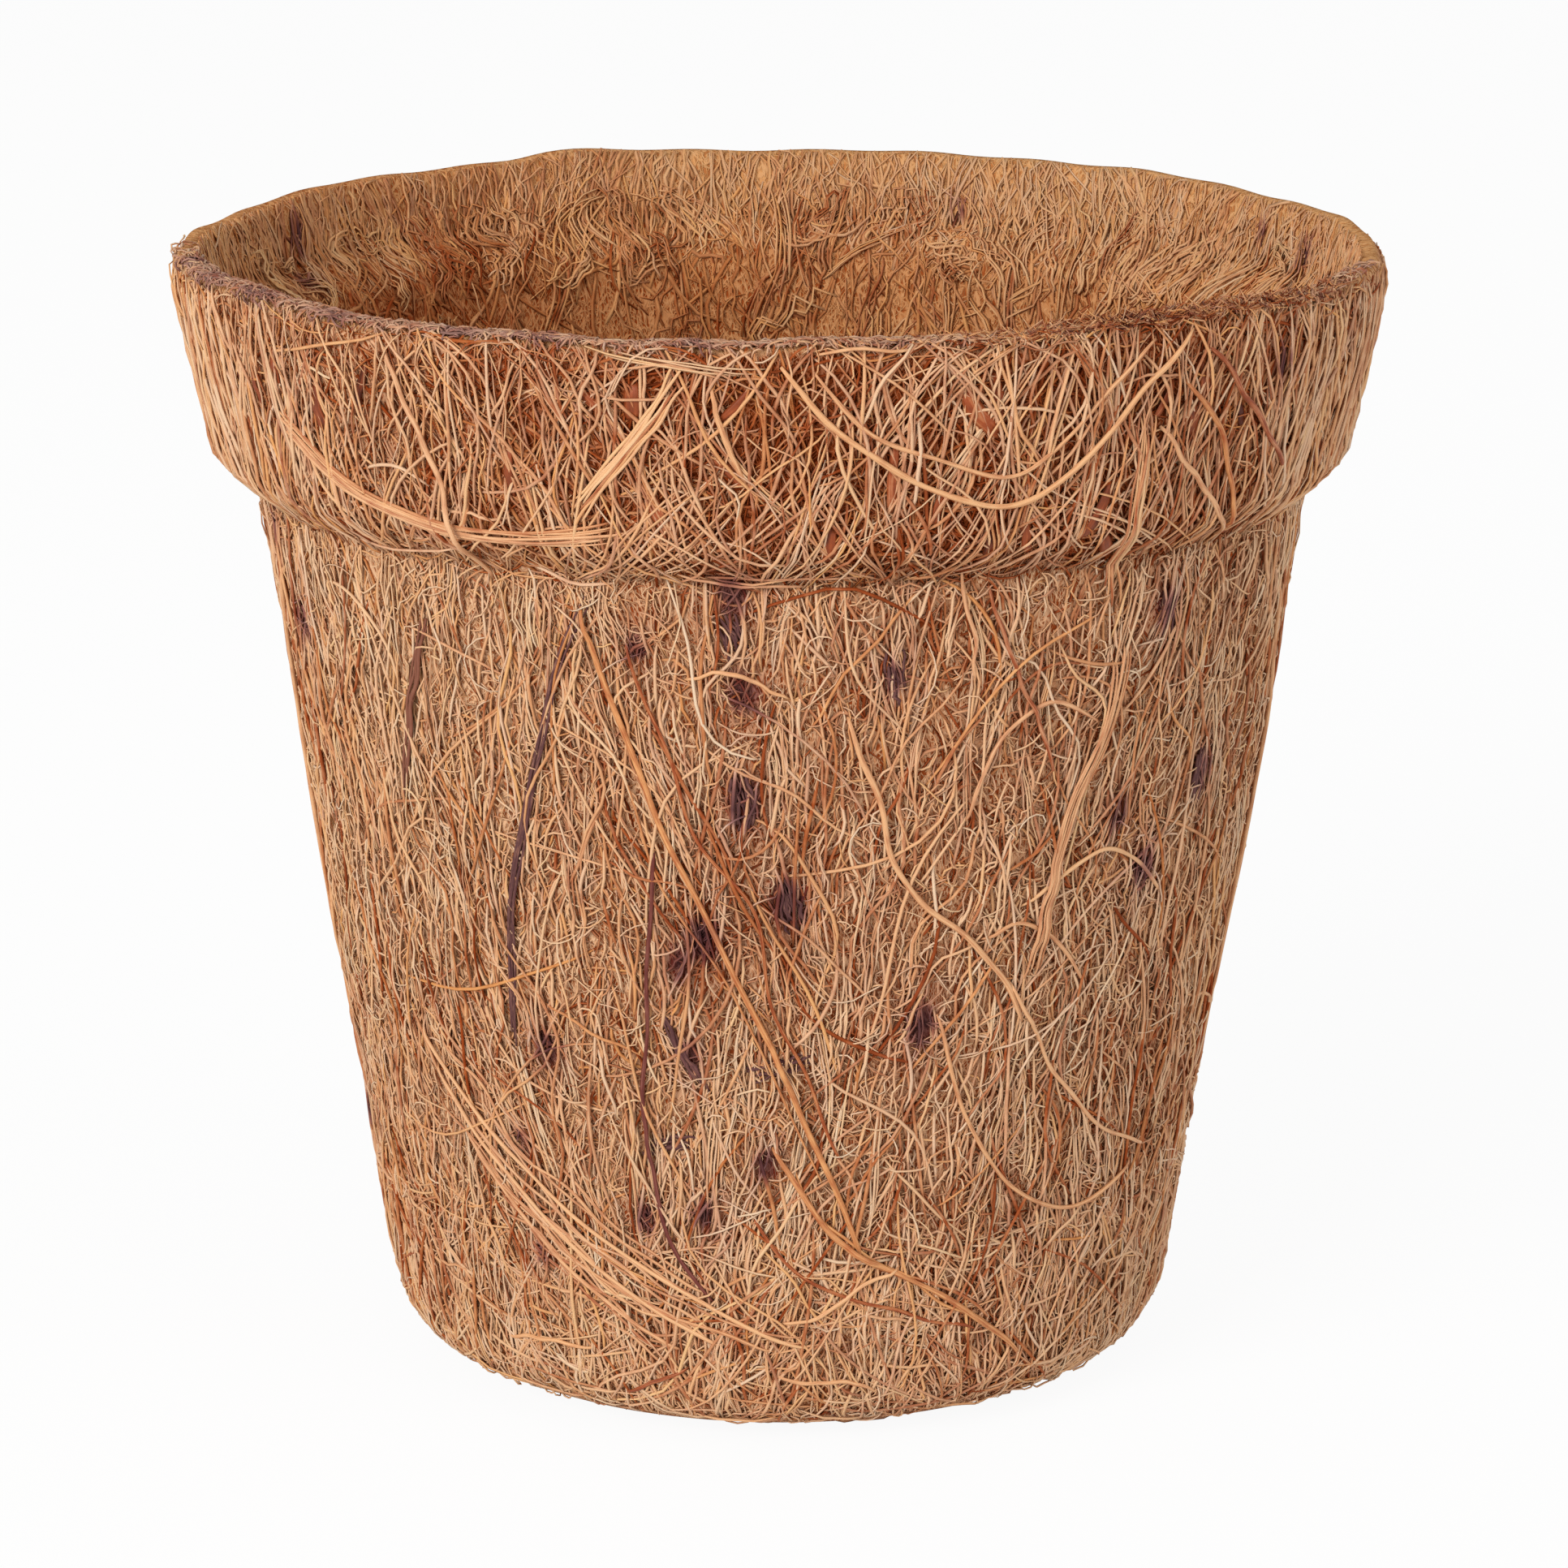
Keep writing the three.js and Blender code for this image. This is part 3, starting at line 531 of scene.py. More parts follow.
class Heap:
    """Fibres gathered into one mesh, each a closed tube with its own strip of the layout."""

    # Most strips in a column, how much of its place a strip fills, and where rings and caps lie in it.
    STRIP_ROWS = 500
    STRIP_FILL = np.array((0.98, 0.92))
    RING_SPAN = (0.05, 0.95)
    CAP_SIZE = (0.015, 0.4)
    CAP_PLACES = ((0.02, 0.5), (0.98, 0.5))

    def __init__(self):
        self.lots = []

    def add(self, points, normals, radii, sides, tone, warmth, stain, flatness):
        """Adds fibres. Points and normals are (fibres, rings, 3); radii and stain are (fibres, rings)."""
        points = points.copy()
        points[..., 2] = np.maximum(points[..., 2], radii * flatness + FLOOR_CLEARANCE)
        along = np.gradient(points, axis=1)
        along /= np.linalg.norm(along, axis=-1, keepdims=True) + TINY
        across = np.cross(normals, along)
        across /= np.linalg.norm(across, axis=-1, keepdims=True) + TINY
        up = np.cross(along, across) * flatness
        turn = 2 * np.pi * np.arange(sides) / sides
        spoke = np.cos(turn)[:, None] * across[:, :, None] + np.sin(turn)[:, None] * up[:, :, None]
        corners = points[:, :, None] + radii[:, :, None, None] * spoke
        tint = np.ones((*corners.shape[:3], 4))
        tint[..., 0] = np.clip(tone, 0, 1)[:, None, None]
        tint[..., 1] = np.clip(warmth, 0, 1)[:, None, None]
        tint[..., 2] = stain[:, :, None]
        steps = np.diff(points, axis=1, prepend=points[:, :1])
        self.lots.append((corners, tint, np.cumsum(np.linalg.norm(steps, axis=-1), axis=1) / MM))

    def add_one(self, points, normals, radii, sides, tone, warmth, stain, flatness):
        """Adds one fibre. Points and normals are (rings, 3); radii and stain have a value for each ring."""
        tone, warmth = np.array([tone]), np.array([warmth])
        self.add(points[None], normals[None], radii[None], sides, tone, warmth, stain[None], flatness)

    def strips(self):
        """Lower corner of each fibre's own strip of the unit square, and the strips' size."""
        count = sum(len(corners) for corners, _, _ in self.lots)
        columns = math.ceil(count / self.STRIP_ROWS)
        rows = math.ceil(count / columns)
        index = np.arange(count)
        low = np.stack([index // rows / columns, index % rows / rows], -1)
        return low, self.STRIP_FILL / (columns, rows)

    def build(self, name, finish, slot, nodes=()):
        """Makes the mesh and its object, which rides on the pot."""
        low, size = self.strips()
        verts, tints, loops, totals, wrap, strip = [], [], [], [], [], []
        first_vert, first_fibre = 0, 0
        for corners, tint, length in self.lots:
            count, rings, sides = corners.shape[:3]
            verts.append(corners.reshape(-1, 3))
            tints.append(tint.reshape(-1, 4))
            index = first_vert + np.arange(count * rings * sides).reshape(count, rings, sides)
            beside = np.roll(index, -1, axis=2)
            quads = np.stack([index[:, :-1], beside[:, :-1], beside[:, 1:], index[:, 1:]], -1)
            caps = np.stack([index[:, 0, ::-1], index[:, -1]], 1)
            loops += [quads.ravel(), caps.ravel()]
            totals += [np.full(quads.size // 4, 4), np.full(count * 2, sides)]
            side = np.arange(sides)
            ring = np.linspace(*self.RING_SPAN, rings)
            along = np.stack([ring[:-1], ring[:-1], ring[1:], ring[1:]], -1)[None, :, None]
            round_it = np.stack([side, side + 1, side + 1, side], -1)[None, None] / sides
            span = np.stack([length[:, :-1], length[:, :-1], length[:, 1:], length[:, 1:]], -1)[:, :, None]
            along, round_it, span = (np.broadcast_to(part, quads.shape) for part in (along, round_it, span))
            wrap.append(np.stack([span, round_it], -1).reshape(-1, 2))
            wrap.append(np.zeros((caps.size, 2)))
            home = low[first_fibre:first_fibre + count]
            tubes = home[:, None, None, None] + np.stack([along, round_it], -1) * size
            strip.append(tubes.reshape(-1, 2))
            turn = 2 * np.pi * side / sides
            disc = np.stack([np.cos(turn), np.sin(turn)], -1) * self.CAP_SIZE
            ends = np.stack([disc[::-1] + self.CAP_PLACES[0], disc + self.CAP_PLACES[1]])
            strip.append((home[:, None, None] + ends * size).reshape(-1, 2))
            first_vert += index.size
            first_fibre += count
        mesh = mesh_from(name, np.concatenate(verts), np.concatenate(loops), np.concatenate(totals))
        uv_map(mesh, "Strand", np.concatenate(wrap))
        uv_map(mesh, "OFBake", np.concatenate(strip))
        tint_map(mesh, np.concatenate(tints))
        obj = bpy.data.objects.new(name, mesh)
        bpy.context.scene.collection.objects.link(obj)
        dressed(obj, finish, slot, nodes)


def mesh_from(name, verts, loops, totals):
    """A smooth mesh from its corners, its faces' corners in one row, and how many each face has."""
    mesh = bpy.data.meshes.new(name)
    mesh.vertices.add(len(verts))
    mesh.vertices.foreach_set("co", verts.ravel())
    mesh.loops.add(len(loops))
    mesh.loops.foreach_set("vertex_index", loops)
    mesh.polygons.add(len(totals))
    mesh.polygons.foreach_set("loop_start", np.concatenate([[0], np.cumsum(totals)[:-1]]))
    mesh.polygons.foreach_set("use_smooth", np.ones(len(totals), bool))
    mesh.update(calc_edges=True)
    return mesh


def uv_map(mesh, name, places):
    mesh.uv_layers.new(name=name).data.foreach_set("uv", places.ravel())


def tint_map(mesh, tints):
    mesh.attributes.new("Tint", "FLOAT_COLOR", "POINT").data.foreach_set("color", tints.ravel())


def dressed(obj, finish, slot, nodes=()):
    """Gives a finished piece its material and puts it on the pot's body."""
    if not obj.data.polygons:
        raise RuntimeError(f"{obj.name} has no faces")
    obj.data.materials.clear()
    obj.data.materials.append(finished(finish))
    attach(obj, BODY)
    if nodes:
        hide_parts(*nodes)


class Lay:
    """Random fibres on one face, before they have a thickness. A heading of 0 runs straight down."""

    FIELDS = (
        "angle", "depth", "heading", "length", "turn", "hook", "sway", "cycles", "phase", "tone", "lift",
    )
    CYCLES = (0.8, 2.2)

    # How far the fibres of a bundle stray from it.
    PLACE_STRAY = 0.35
    SLIDE = 1.2 * MM
    HEADING_STRAY = 0.05
    LENGTHS = (0.65, 1.1)
    TONE_STRAY = 0.08
    LIFT_STRAY = 0.06 * MM

    def __init__(self, rng, face, angle, depth, heading, length, turn, hook, sway, tone, lift):
        count = len(angle)
        self.rng, self.face = rng, face
        self.angle, self.depth, self.heading, self.length = angle, depth, heading, length
        self.turn = rng.normal(0, 1, count) * turn
        self.hook = rng.normal(0, 1, count) * hook
        self.sway = rng.normal(0, 1, count) * sway
        self.cycles = rng.uniform(*self.CYCLES, count)
        self.phase = rng.uniform(0, 2 * np.pi, count)
        self.tone, self.lift = tone, lift

    def bundled(self, members, spacing):
        """Turns each fibre into several that run side by side and stray a little."""
        rng, count = self.rng, len(self.angle) * members
        place = np.tile(np.arange(members) - (members - 1) / 2, len(self.angle)) * spacing
        for name in self.FIELDS:
            setattr(self, name, np.repeat(getattr(self, name), members))
        place = place + rng.normal(0, self.PLACE_STRAY * spacing, count)
        slide = rng.normal(0, self.SLIDE, count)
        across, along = np.cos(self.heading), np.sin(self.heading)
        self.angle = self.angle + (place * across + slide * along) / self.face.width_of_turn(self.depth)
        self.depth = self.depth - place * along + slide * across
        self.heading = self.heading + rng.normal(0, self.HEADING_STRAY, count)
        self.length = self.length * rng.uniform(*self.LENGTHS, count)
        self.tone = self.tone + rng.normal(0, self.TONE_STRAY, count)
        self.lift = self.lift + rng.normal(0, self.LIFT_STRAY, count)

    def paths(self, rings):
        """Angle and depth of each ring of each fibre."""
        step = self.length / (rings - 1)
        angles, depths = [self.angle], [self.depth]
        for ring in range(1, rings):
            share = (ring - 0.5) / (rings - 1)
            wave = self.sway * np.sin(2 * np.pi * self.cycles * share + self.phase)
            head = self.heading + self.turn * (share - 0.5) + self.hook * share ** 3 + wave
            angles.append(angles[-1] + step * np.sin(head) / self.face.width_of_turn(depths[-1]))
            depths.append(depths[-1] + step * np.cos(head))
        return np.stack(angles, 1), np.stack(depths, 1)


def at_angle(value, angle):
    """A value that may change with the angle."""
    return value(angle) if callable(value) else value


def spread_about(rng, tint, angle):
    """Random tints about a mean."""
    mean, spread = tint
    return at_angle(mean, angle) + rng.normal(0, spread, len(angle))


def arched(along, end, power):
    """A curve that rises from a fibre's ends to 1 in its middle."""
    return np.sin(np.pi * np.clip(along, end, 1 - end)) ** power


# How much lighter a layer's highest fibres are than its lowest (painted shade on the fibres that lie deeper
# in the mat), the space between the fibres of a bundle as a share of their width, the ripple along a fibre,
# and the spread of the share of a stain that fibres take.
DEPTH_SHADE_TONE = 0.12
BUNDLE_SPACING = 1.05
RIPPLE = 0.06 * MM
SOAK_SPREAD = 0.3

# How a free fibre curves up from the felt, and how much thinner its far end is.
FREE_CURVE = 1.5
FREE_TAPER = 0.55


def scatter(heaps, rng, face, top, bottom, *, width, length, lift, tone, warmth, lean, turn, count=0,
            share=1, angles=None, hook=0.0, sway=0.12, rings=7, sides=3, members=1, flatness=1.0, stains=(),
            soak=0.82, free=False, crowd=1.0, margin=3.0):
    """Lays a share of a zone's fibres at random between two depths, or one fibre at each given angle.

    Width, length and lift are (least, most) in millimetres, and the ends keep a margin in millimetres from
    the zone's edges. Tone and warmth are (mean, spread). A mean, the turn or the top may change with the
    angle. The ends sink into the felt and the middle rises to the fibre's lift; a free fibre's far end
    stands clear. Crowd above 1 lays more of them near the top. Soak is the mean share of a stain that a
    fibre takes.
    """
    on_disc = isinstance(face, Disc)
    count = int(count * share) if angles is None else len(angles)
    if on_disc:
        reach, where = face.radius * np.sqrt(rng.random(count)), rng.uniform(-np.pi, np.pi, count)
        angle, depth = reach * np.sin(where), reach * np.cos(where)
    else:
        angle = rng.uniform(-np.pi, np.pi, count) if angles is None else angles
        edge = at_angle(top, angle)
        depth = edge + (bottom - edge) * rng.random(count) ** crowd
    heading = lean(rng, angle, depth)
    long = rng.uniform(*length, count) * MM
    level = rng.uniform(0, 1, count)
    # The lower fibres of a layer are darker: painted shade deeper in the mat.
    tones = spread_about(rng, tone, angle) + DEPTH_SHADE_TONE * (level - 0.5) + waves(PATCH_WAVES, angle, depth)
    lifts = (lift[0] + level * (lift[1] - lift[0])) * MM
    lay = Lay(rng, face, angle, depth, heading, long, at_angle(turn, angle), hook, sway, tones, lifts)
    if members > 1:
        lay.bundled(members, BUNDLE_SPACING * MM * (width[0] + width[1]) / 2)
    angle, depth = lay.paths(rings)
    total = len(angle)
    if not on_disc:
        clear = rng.uniform(0, margin * MM, total)
        depth = depth + np.maximum(0, at_angle(top, lay.angle) + clear - depth.min(1))[:, None]
        depth = depth - np.maximum(0, depth.max(1) - bottom + clear)[:, None]
    along = np.linspace(0, 1, rings)
    arch = along ** FREE_CURVE if free else arched(along, end=0.01, power=0.6)
    ripples = rng.uniform(1, 3, (total, 1)) * along + rng.uniform(0, 1, (total, 1))
    raised = lay.lift[:, None] * arch - settings()[0].sink * (1 - arch)
    raised = raised + RIPPLE * np.sin(2 * np.pi * ripples)
    points, normals = face.at(angle, depth, raised)
    taper = 1 - FREE_TAPER * along if free else 0.5 + 0.5 * arched(along, end=0.03, power=0.4)
    radii = rng.uniform(*width, total)[:, None] * MM / 2 * taper
    stained = np.zeros(angle.shape)
    if stains:
        takes = np.clip(rng.normal(soak, SOAK_SPREAD, total), 0, 1)
        stained = stain_at(points, stains, face) * takes[:, None]
    warm = spread_about(rng, warmth, lay.angle) + (0 if on_disc else side_warmth(lay.angle))
    part = ((lay.angle + np.pi) / (2 * np.pi) * len(heaps)).astype(int) % len(heaps)
    for i, heap in enumerate(heaps):
        mine = part == i
        fibres = points[mine], normals[mine], radii[mine]
        heap.add(*fibres, sides, lay.tone[mine], warm[mine], stained[mine], flatness)


# Tones, warmths and leans that change round the pot, with middles and reaches in degrees from the front

def side_warmth(angle):
    """The felt is a little warmer on its left and greyer on its right."""
    return -0.05 * np.tanh(signed_degrees(angle) / 40)


def backness(angle):
    """From 0 on the pot's front half to 1 on its back half."""
    return rise(np.abs(signed_degrees(angle)), middle=95, reach=9)


def sidedness(angle):
    """From 0 in the middle of the front to 1 at the pot's left and right."""
    return rise(np.abs(signed_degrees(angle)), middle=36, reach=5) * (1 - backness(angle))


def rim_warmth(angle):
    """The rim is as warm as the inside at the back, red where it is ragged and grey elsewhere."""
    return 0.25 + 0.6 * backness(angle) + 0.5 * bell(signed_degrees(angle), middle=RAGGED_MIDDLE, reach=24)


def rim_tone(angle):
    """The rim's ends are darker where it is ragged."""
    return 0.58 - 0.15 * bell(signed_degrees(angle), middle=RAGGED_MIDDLE, reach=22)


def left_lit_tone(mean):
    """A tone with painted light: lighter on the pot's left, where the key lamp falls, and near its edges at
    the sides.
    """
    def tone(angle):
        degrees = signed_degrees(angle)
        edges = bell(np.abs(degrees), middle=76, reach=14)
        return mean + 0.13 * rise(-degrees, middle=28, reach=8) + 0.1 * edges
    return tone


def side_tone(mean, gain=1.0):
    """A tone that is lighter at the collar's sides."""
    def tone(angle):
        degrees = signed_degrees(angle)
        left, right = rise(-degrees, middle=33, reach=8), rise(degrees, middle=44, reach=6)
        return mean + gain * (0.14 * left + 0.11 * right)
    return tone


def inside_shaded_tone(mean):
    """A tone with painted shade: darker on the left of the inside, which the key lamp leaves in shade."""
    def tone(angle):
        return mean - 0.14 * bell(signed_degrees(angle), middle=-125, reach=32)
    return tone


def below_rim(angle):
    """Depth at which the collar's fibres begin: lower at the sides and back, whose rim is clean."""
    return (0.3 + 0.9 * rise(np.abs(signed_degrees(angle)), middle=66, reach=5)) * MM


STRAIGHTEST = 0.17


def openness(angle):
    """How far the wall's fibres stray from upright: little on the left, much on the right."""
    degrees = signed_degrees(angle)
    right, back = rise(degrees, middle=8, reach=13), rise(degrees, middle=130, reach=12)
    return STRAIGHTEST + 0.15 * right - 0.12 * back


def curliness(angle):
    """How far the wall's short curls stray from upright."""
    return 0.2 + 2.2 * openness(angle)


def wall_turn(angle):
    """Total curl of a wall fibre."""
    return 1.2 + 8.0 * (openness(angle) - STRAIGHTEST)


def either_way(rng, count):
    return np.where(rng.random(count) < 0.5, 0, np.pi)


def upright(spread):
    """Fibres that run up and down, neighbours alike, with a spread that may change round the pot."""
    def lean(rng, angle, depth):
        stray = rng.normal(0, 1, len(angle)) * at_angle(spread, angle)
        return waves(GRAIN_WAVES, angle, depth) + stray + either_way(rng, len(angle))
    return lean


# Shares of crossing fibres that stand upright and that stand or slant, the slants in radians, how much the
# slants straighten at the sides, and the spread of them all.
UPRIGHT_SHARE = 0.4
SLANTED_SHARE = 0.97
SLANTS = (0.35, 0.85)
SIDE_STRAIGHTENING = 0.55
CROSSING_SPREAD = 0.16


def crossing(rng, angle, depth):
    """Fibres that cross: some upright, many slanted either way, a few at the front lying down."""
    count = len(angle)
    side = sidedness(angle)
    slant = rng.choice([-1, 1], count) * rng.uniform(*SLANTS, count) * (1 - SIDE_STRAIGHTENING * side)
    kind = rng.random(count)
    slanted = SLANTED_SHARE + (1 - SLANTED_SHARE) * side
    mean = np.where(kind < UPRIGHT_SHARE, 0, np.where(kind < slanted, slant, np.pi / 2))
    return mean + rng.normal(0, CROSSING_SPREAD, count) + either_way(rng, count)


def every_way(rng, angle, depth):
    return rng.uniform(0, 2 * np.pi, len(angle))


def round_the_rim(rng, angle, depth):
    spread = 0.6 - 0.5 * backness(angle)
    return np.pi / 2 + spread * rng.normal(0, 1, len(angle)) + either_way(rng, len(angle))


def over_the_rim(rng, angle, depth):
    return rng.normal(0, 0.5, len(angle)) + either_way(rng, len(angle))


# Coarse strands

def spline(knots, steps=24):
    """A smooth line through knots, as a dense array."""
    ends = np.concatenate([[2 * knots[0] - knots[1]], knots, [2 * knots[-1] - knots[-2]]])
    t = np.linspace(0, 1, steps, endpoint=False)[:, None]
    line = []
    for a, b, c, d in zip(ends, ends[1:], ends[2:], ends[3:]):
        square, cube = 2 * a - 5 * b + 4 * c - d, 3 * b - a - 3 * c + d
        line.append(0.5 * (2 * b + (c - a) * t + square * t ** 2 + cube * t ** 3))
    return np.concatenate(line + [knots[-1:]])


class Pile:
    """Coarse strands laid one over another on the unrolled outside. Places are (across, height)."""

    RING_STEP = 0.55 * MM
    LEAST_RINGS = 10
    BOND = 0.02 * MM
    CLEARANCE = 0.1 * MM
    CLIMB = 0.35

    def __init__(self):
        shape = settings()[0]
        self.radius = shape.rim_radius - shape.collar_flare - shape.shoulder_step
        self.face = Face.outside()
        self.laid = []

    def track(self, course):
        """Evenly spaced places along a course."""
        degrees, depth = np.array(course, float).T
        line = spline(np.stack([np.radians(degrees) * self.radius, course_height(depth)], -1))
        return resampled(line, max(self.LEAST_RINGS, int(lengths_along(line)[-1] / self.RING_STEP)))

    def lay(self, track, half_width, half_height):
        """Lift of a strand's middle along its track, clear of the strands under it."""
        lift = np.full(len(track), self.BOND + half_height)
        for under, under_half, under_top in self.laid:
            gap = np.linalg.norm(track[:, None] - under[None], axis=-1)
            near = gap < half_width + under_half + self.CLEARANCE
            lift = np.maximum(lift, np.where(near, under_top[None] + half_height, 0).max(1))
        drop = self.CLIMB * self.RING_STEP
        for order in (range(1, len(lift)), range(len(lift) - 2, -1, -1)):
            for i in order:
                lift[i] = max(lift[i], lift[i - order.step] - drop)
        self.laid.append((track, half_width, lift + half_height))
        return lift

    def points(self, track, lift):
        return self.face.at(track[:, 0] / self.radius, self.face.depth_at(track[:, 1]), lift)


def sideways(track):
    """Directions square to a track."""
    along = np.gradient(track, axis=0)
    along /= np.linalg.norm(along, axis=1, keepdims=True) + TINY
    return np.stack([-along[:, 1], along[:, 0]], -1)


def waver(rng, share, size, slowest=1, fastest=5):
    """A smooth random curve along a strand."""
    total = np.zeros_like(share)
    for cycles in range(slowest, fastest + 1):
        strength = rng.normal(0, 1) / cycles ** 0.5
        total += strength * np.sin(2 * np.pi * (cycles * share * 0.9 + rng.random()))
    return size * total


def random_part(rng, track, shortest, longest, least=0):
    """A slice of a track that begins at random and has a random share of its length."""
    length = max(least, int(len(track) * rng.uniform(shortest, longest)))
    first = rng.integers(0, len(track) - length + 1)
    return slice(first, first + length)


class COIR_OT_strands(bpy.types.Operator):
    """Lays the coarse strands and bundles along their courses, each over those under it"""

    bl_idname = "coir.strands"
    bl_label = "Coarse Strands"

    # A strand: its make, how its ends dive into the felt, and the share of a stain that it takes.
    SIDES = 7
    SLIMNESS = 0.8
    FLATNESS = 0.84
    HALF_HEIGHT = 0.42
    WAVER = 0.09 * MM
    END_REACH = 1.6 * MM
    END_DIVE = 0.25 * MM
    END_WIDTH = 0.55
    TAPER_REACH = 3 * MM
    UNEVENNESS = 0.06
    WIDTH_LIMITS = (0.7, 1.3)
    SOAK = 0.5
    TONE_SPREAD = 0.03
    WARMTH_SPREAD = 0.06

    # A bundle of thin strands, which fan out at its ends.
    BUNDLE_MEMBERS = 7
    BUNDLE_HALF_HEIGHT = 0.35
    BUNDLE_WAVER = 0.07 * MM
    BUNDLE_FAN = 0.6
    BUNDLE_CROWN = 0.1 * MM
    BUNDLE_UNEVENNESS = 0.05
    BUNDLE_SINK = 0.18 * MM
    BUNDLE_TRIM = 5
    BUNDLE_FLATNESS = 0.9
    MEMBER_WIDTHS = (0.16, 0.3)
    MEMBER_TONE = (-0.04, 0.1)

    # The thinner fibres beside a strand, with their tone and warmth set against the strand's.
    COMPANY_SIDES = 5
    COMPANY_SPREAD = 2.4 * MM
    COMPANY_WAVER = 0.4 * MM
    COMPANY_LENGTHS = (0.35, 0.9)
    COMPANY_LIFTS = (0.02, 0.2)
    COMPANY_WIDTHS = (0.2, 0.32)
    COMPANY_FLATNESS = 0.8
    COMPANY_TONE = (-0.08, 0.08)
    COMPANY_WARMTH = -0.1

    def add_tube(self, heap, rng, pile, track, lift, width, flatness, tint, sides=SIDES):
        """One strand of changing width, with its ends drawn down into the felt."""
        share = np.linspace(0, 1, len(track))
        distance = np.minimum(share, 1 - share) * lengths_along(track)[-1]
        buried = np.clip(1 - distance / self.END_REACH, 0, 1) ** 2
        points, normals = pile.points(track, lift - buried * (lift + self.END_DIVE))
        taper = self.END_WIDTH + (1 - self.END_WIDTH) * np.clip(distance / self.TAPER_REACH, 0, 1) ** 0.7
        uneven = np.clip(1 + waver(rng, share, self.UNEVENNESS, 2, 9), *self.WIDTH_LIMITS)
        radii = width / 2 * taper * uneven
        tone, warmth, soaked = tint
        stain = np.maximum(soaked, self.SOAK * stain_at(points, OUTER_STAINS, pile.face))
        tone, warmth = tone + rng.normal(0, self.TONE_SPREAD), warmth + rng.normal(0, self.WARMTH_SPREAD)
        heap.add_one(points, normals, radii, sides, tone, warmth, stain, flatness)

    def add_course(self, heap, rng, pile, kind, colour, course):
        width = getattr(settings()[1], f"{kind}_width")
        track = pile.track(course)
        across = sideways(track)
        share = np.linspace(0, 1, len(track))[:, None]
        tint = STRAND_TINTS[colour]
        if kind != "bundle":
            width *= self.SLIMNESS
            lift = pile.lay(track, width / 2, width * self.HALF_HEIGHT)
            track = track + across * waver(rng, share, self.WAVER)
            self.add_tube(heap, rng, pile, track, lift, width, self.FLATNESS, tint)
            return
        lift = pile.lay(track, width / 2, width * self.BUNDLE_HALF_HEIGHT)
        fan = 1 + self.BUNDLE_FAN * (2 * share - 1) ** 4
        for member in range(self.BUNDLE_MEMBERS):
            place = (member / (self.BUNDLE_MEMBERS - 1) - 0.5) * width
            offset = place * fan + waver(rng, share, self.BUNDLE_WAVER)
            crown = self.BUNDLE_CROWN * (1 - (2 * place / width) ** 2)
            crown += rng.uniform(-self.BUNDLE_UNEVENNESS, self.BUNDLE_UNEVENNESS) * MM
            start, trim = rng.integers(0, self.BUNDLE_TRIM), rng.integers(0, self.BUNDLE_TRIM)
            part = slice(start, len(track) - trim)
            thin = width * rng.uniform(*self.MEMBER_WIDTHS)
            tone = tint[0] + rng.normal(*self.MEMBER_TONE)
            self.add_tube(
                heap, rng, pile, (track + across * offset)[part], lift[part] + crown - self.BUNDLE_SINK,
                thin, self.BUNDLE_FLATNESS, (tone, *tint[1:]))

    def add_company(self, heap, rng, pile, members, colour, course):
        """Thinner fibres that run beside a strand, each along a part of its course."""
        track = pile.track(course)
        across = sideways(track)
        share = np.linspace(0, 1, len(track))[:, None]
        tone, warmth, soaked = STRAND_TINTS[colour]
        for _ in range(members):
            offset = rng.normal(0, 1) * self.COMPANY_SPREAD * (1.3 - share)
            offset = offset + waver(rng, share, self.COMPANY_WAVER)
            part = random_part(rng, track, *self.COMPANY_LENGTHS)
            run = (track + across * offset)[part]
            lift = np.full(len(run), rng.uniform(*self.COMPANY_LIFTS) * MM)
            width = rng.uniform(*self.COMPANY_WIDTHS) * MM
            tint = tone + rng.normal(*self.COMPANY_TONE), warmth + self.COMPANY_WARMTH, soaked
            self.add_tube(
                heap, rng, pile, run, lift, width, self.COMPANY_FLATNESS, tint, self.COMPANY_SIDES)

    def execute(self, context):
        fibres = settings()[1]
        rng = np.random.default_rng(fibres.seed + 1)
        pile = Pile()
        for kind, _, course in HUSK_COURSES.values():
            track = pile.track(course)
            pile.lay(track, getattr(fibres, f"{kind}_width") / 2, fibres.husk_thickness / 2)
        for name, (courses, slot) in STRAND_PIECES.items():
            heap = Heap()
            for node, (kind, colour, course) in courses.items():
                self.add_course(heap, rng, pile, kind, colour, course)
                self.add_company(heap, rng, pile, COMPANY.get(node, 0), colour, course)
            heap.build(name, "coarse_strand", slot, list(courses))
        return {"FINISHED"}


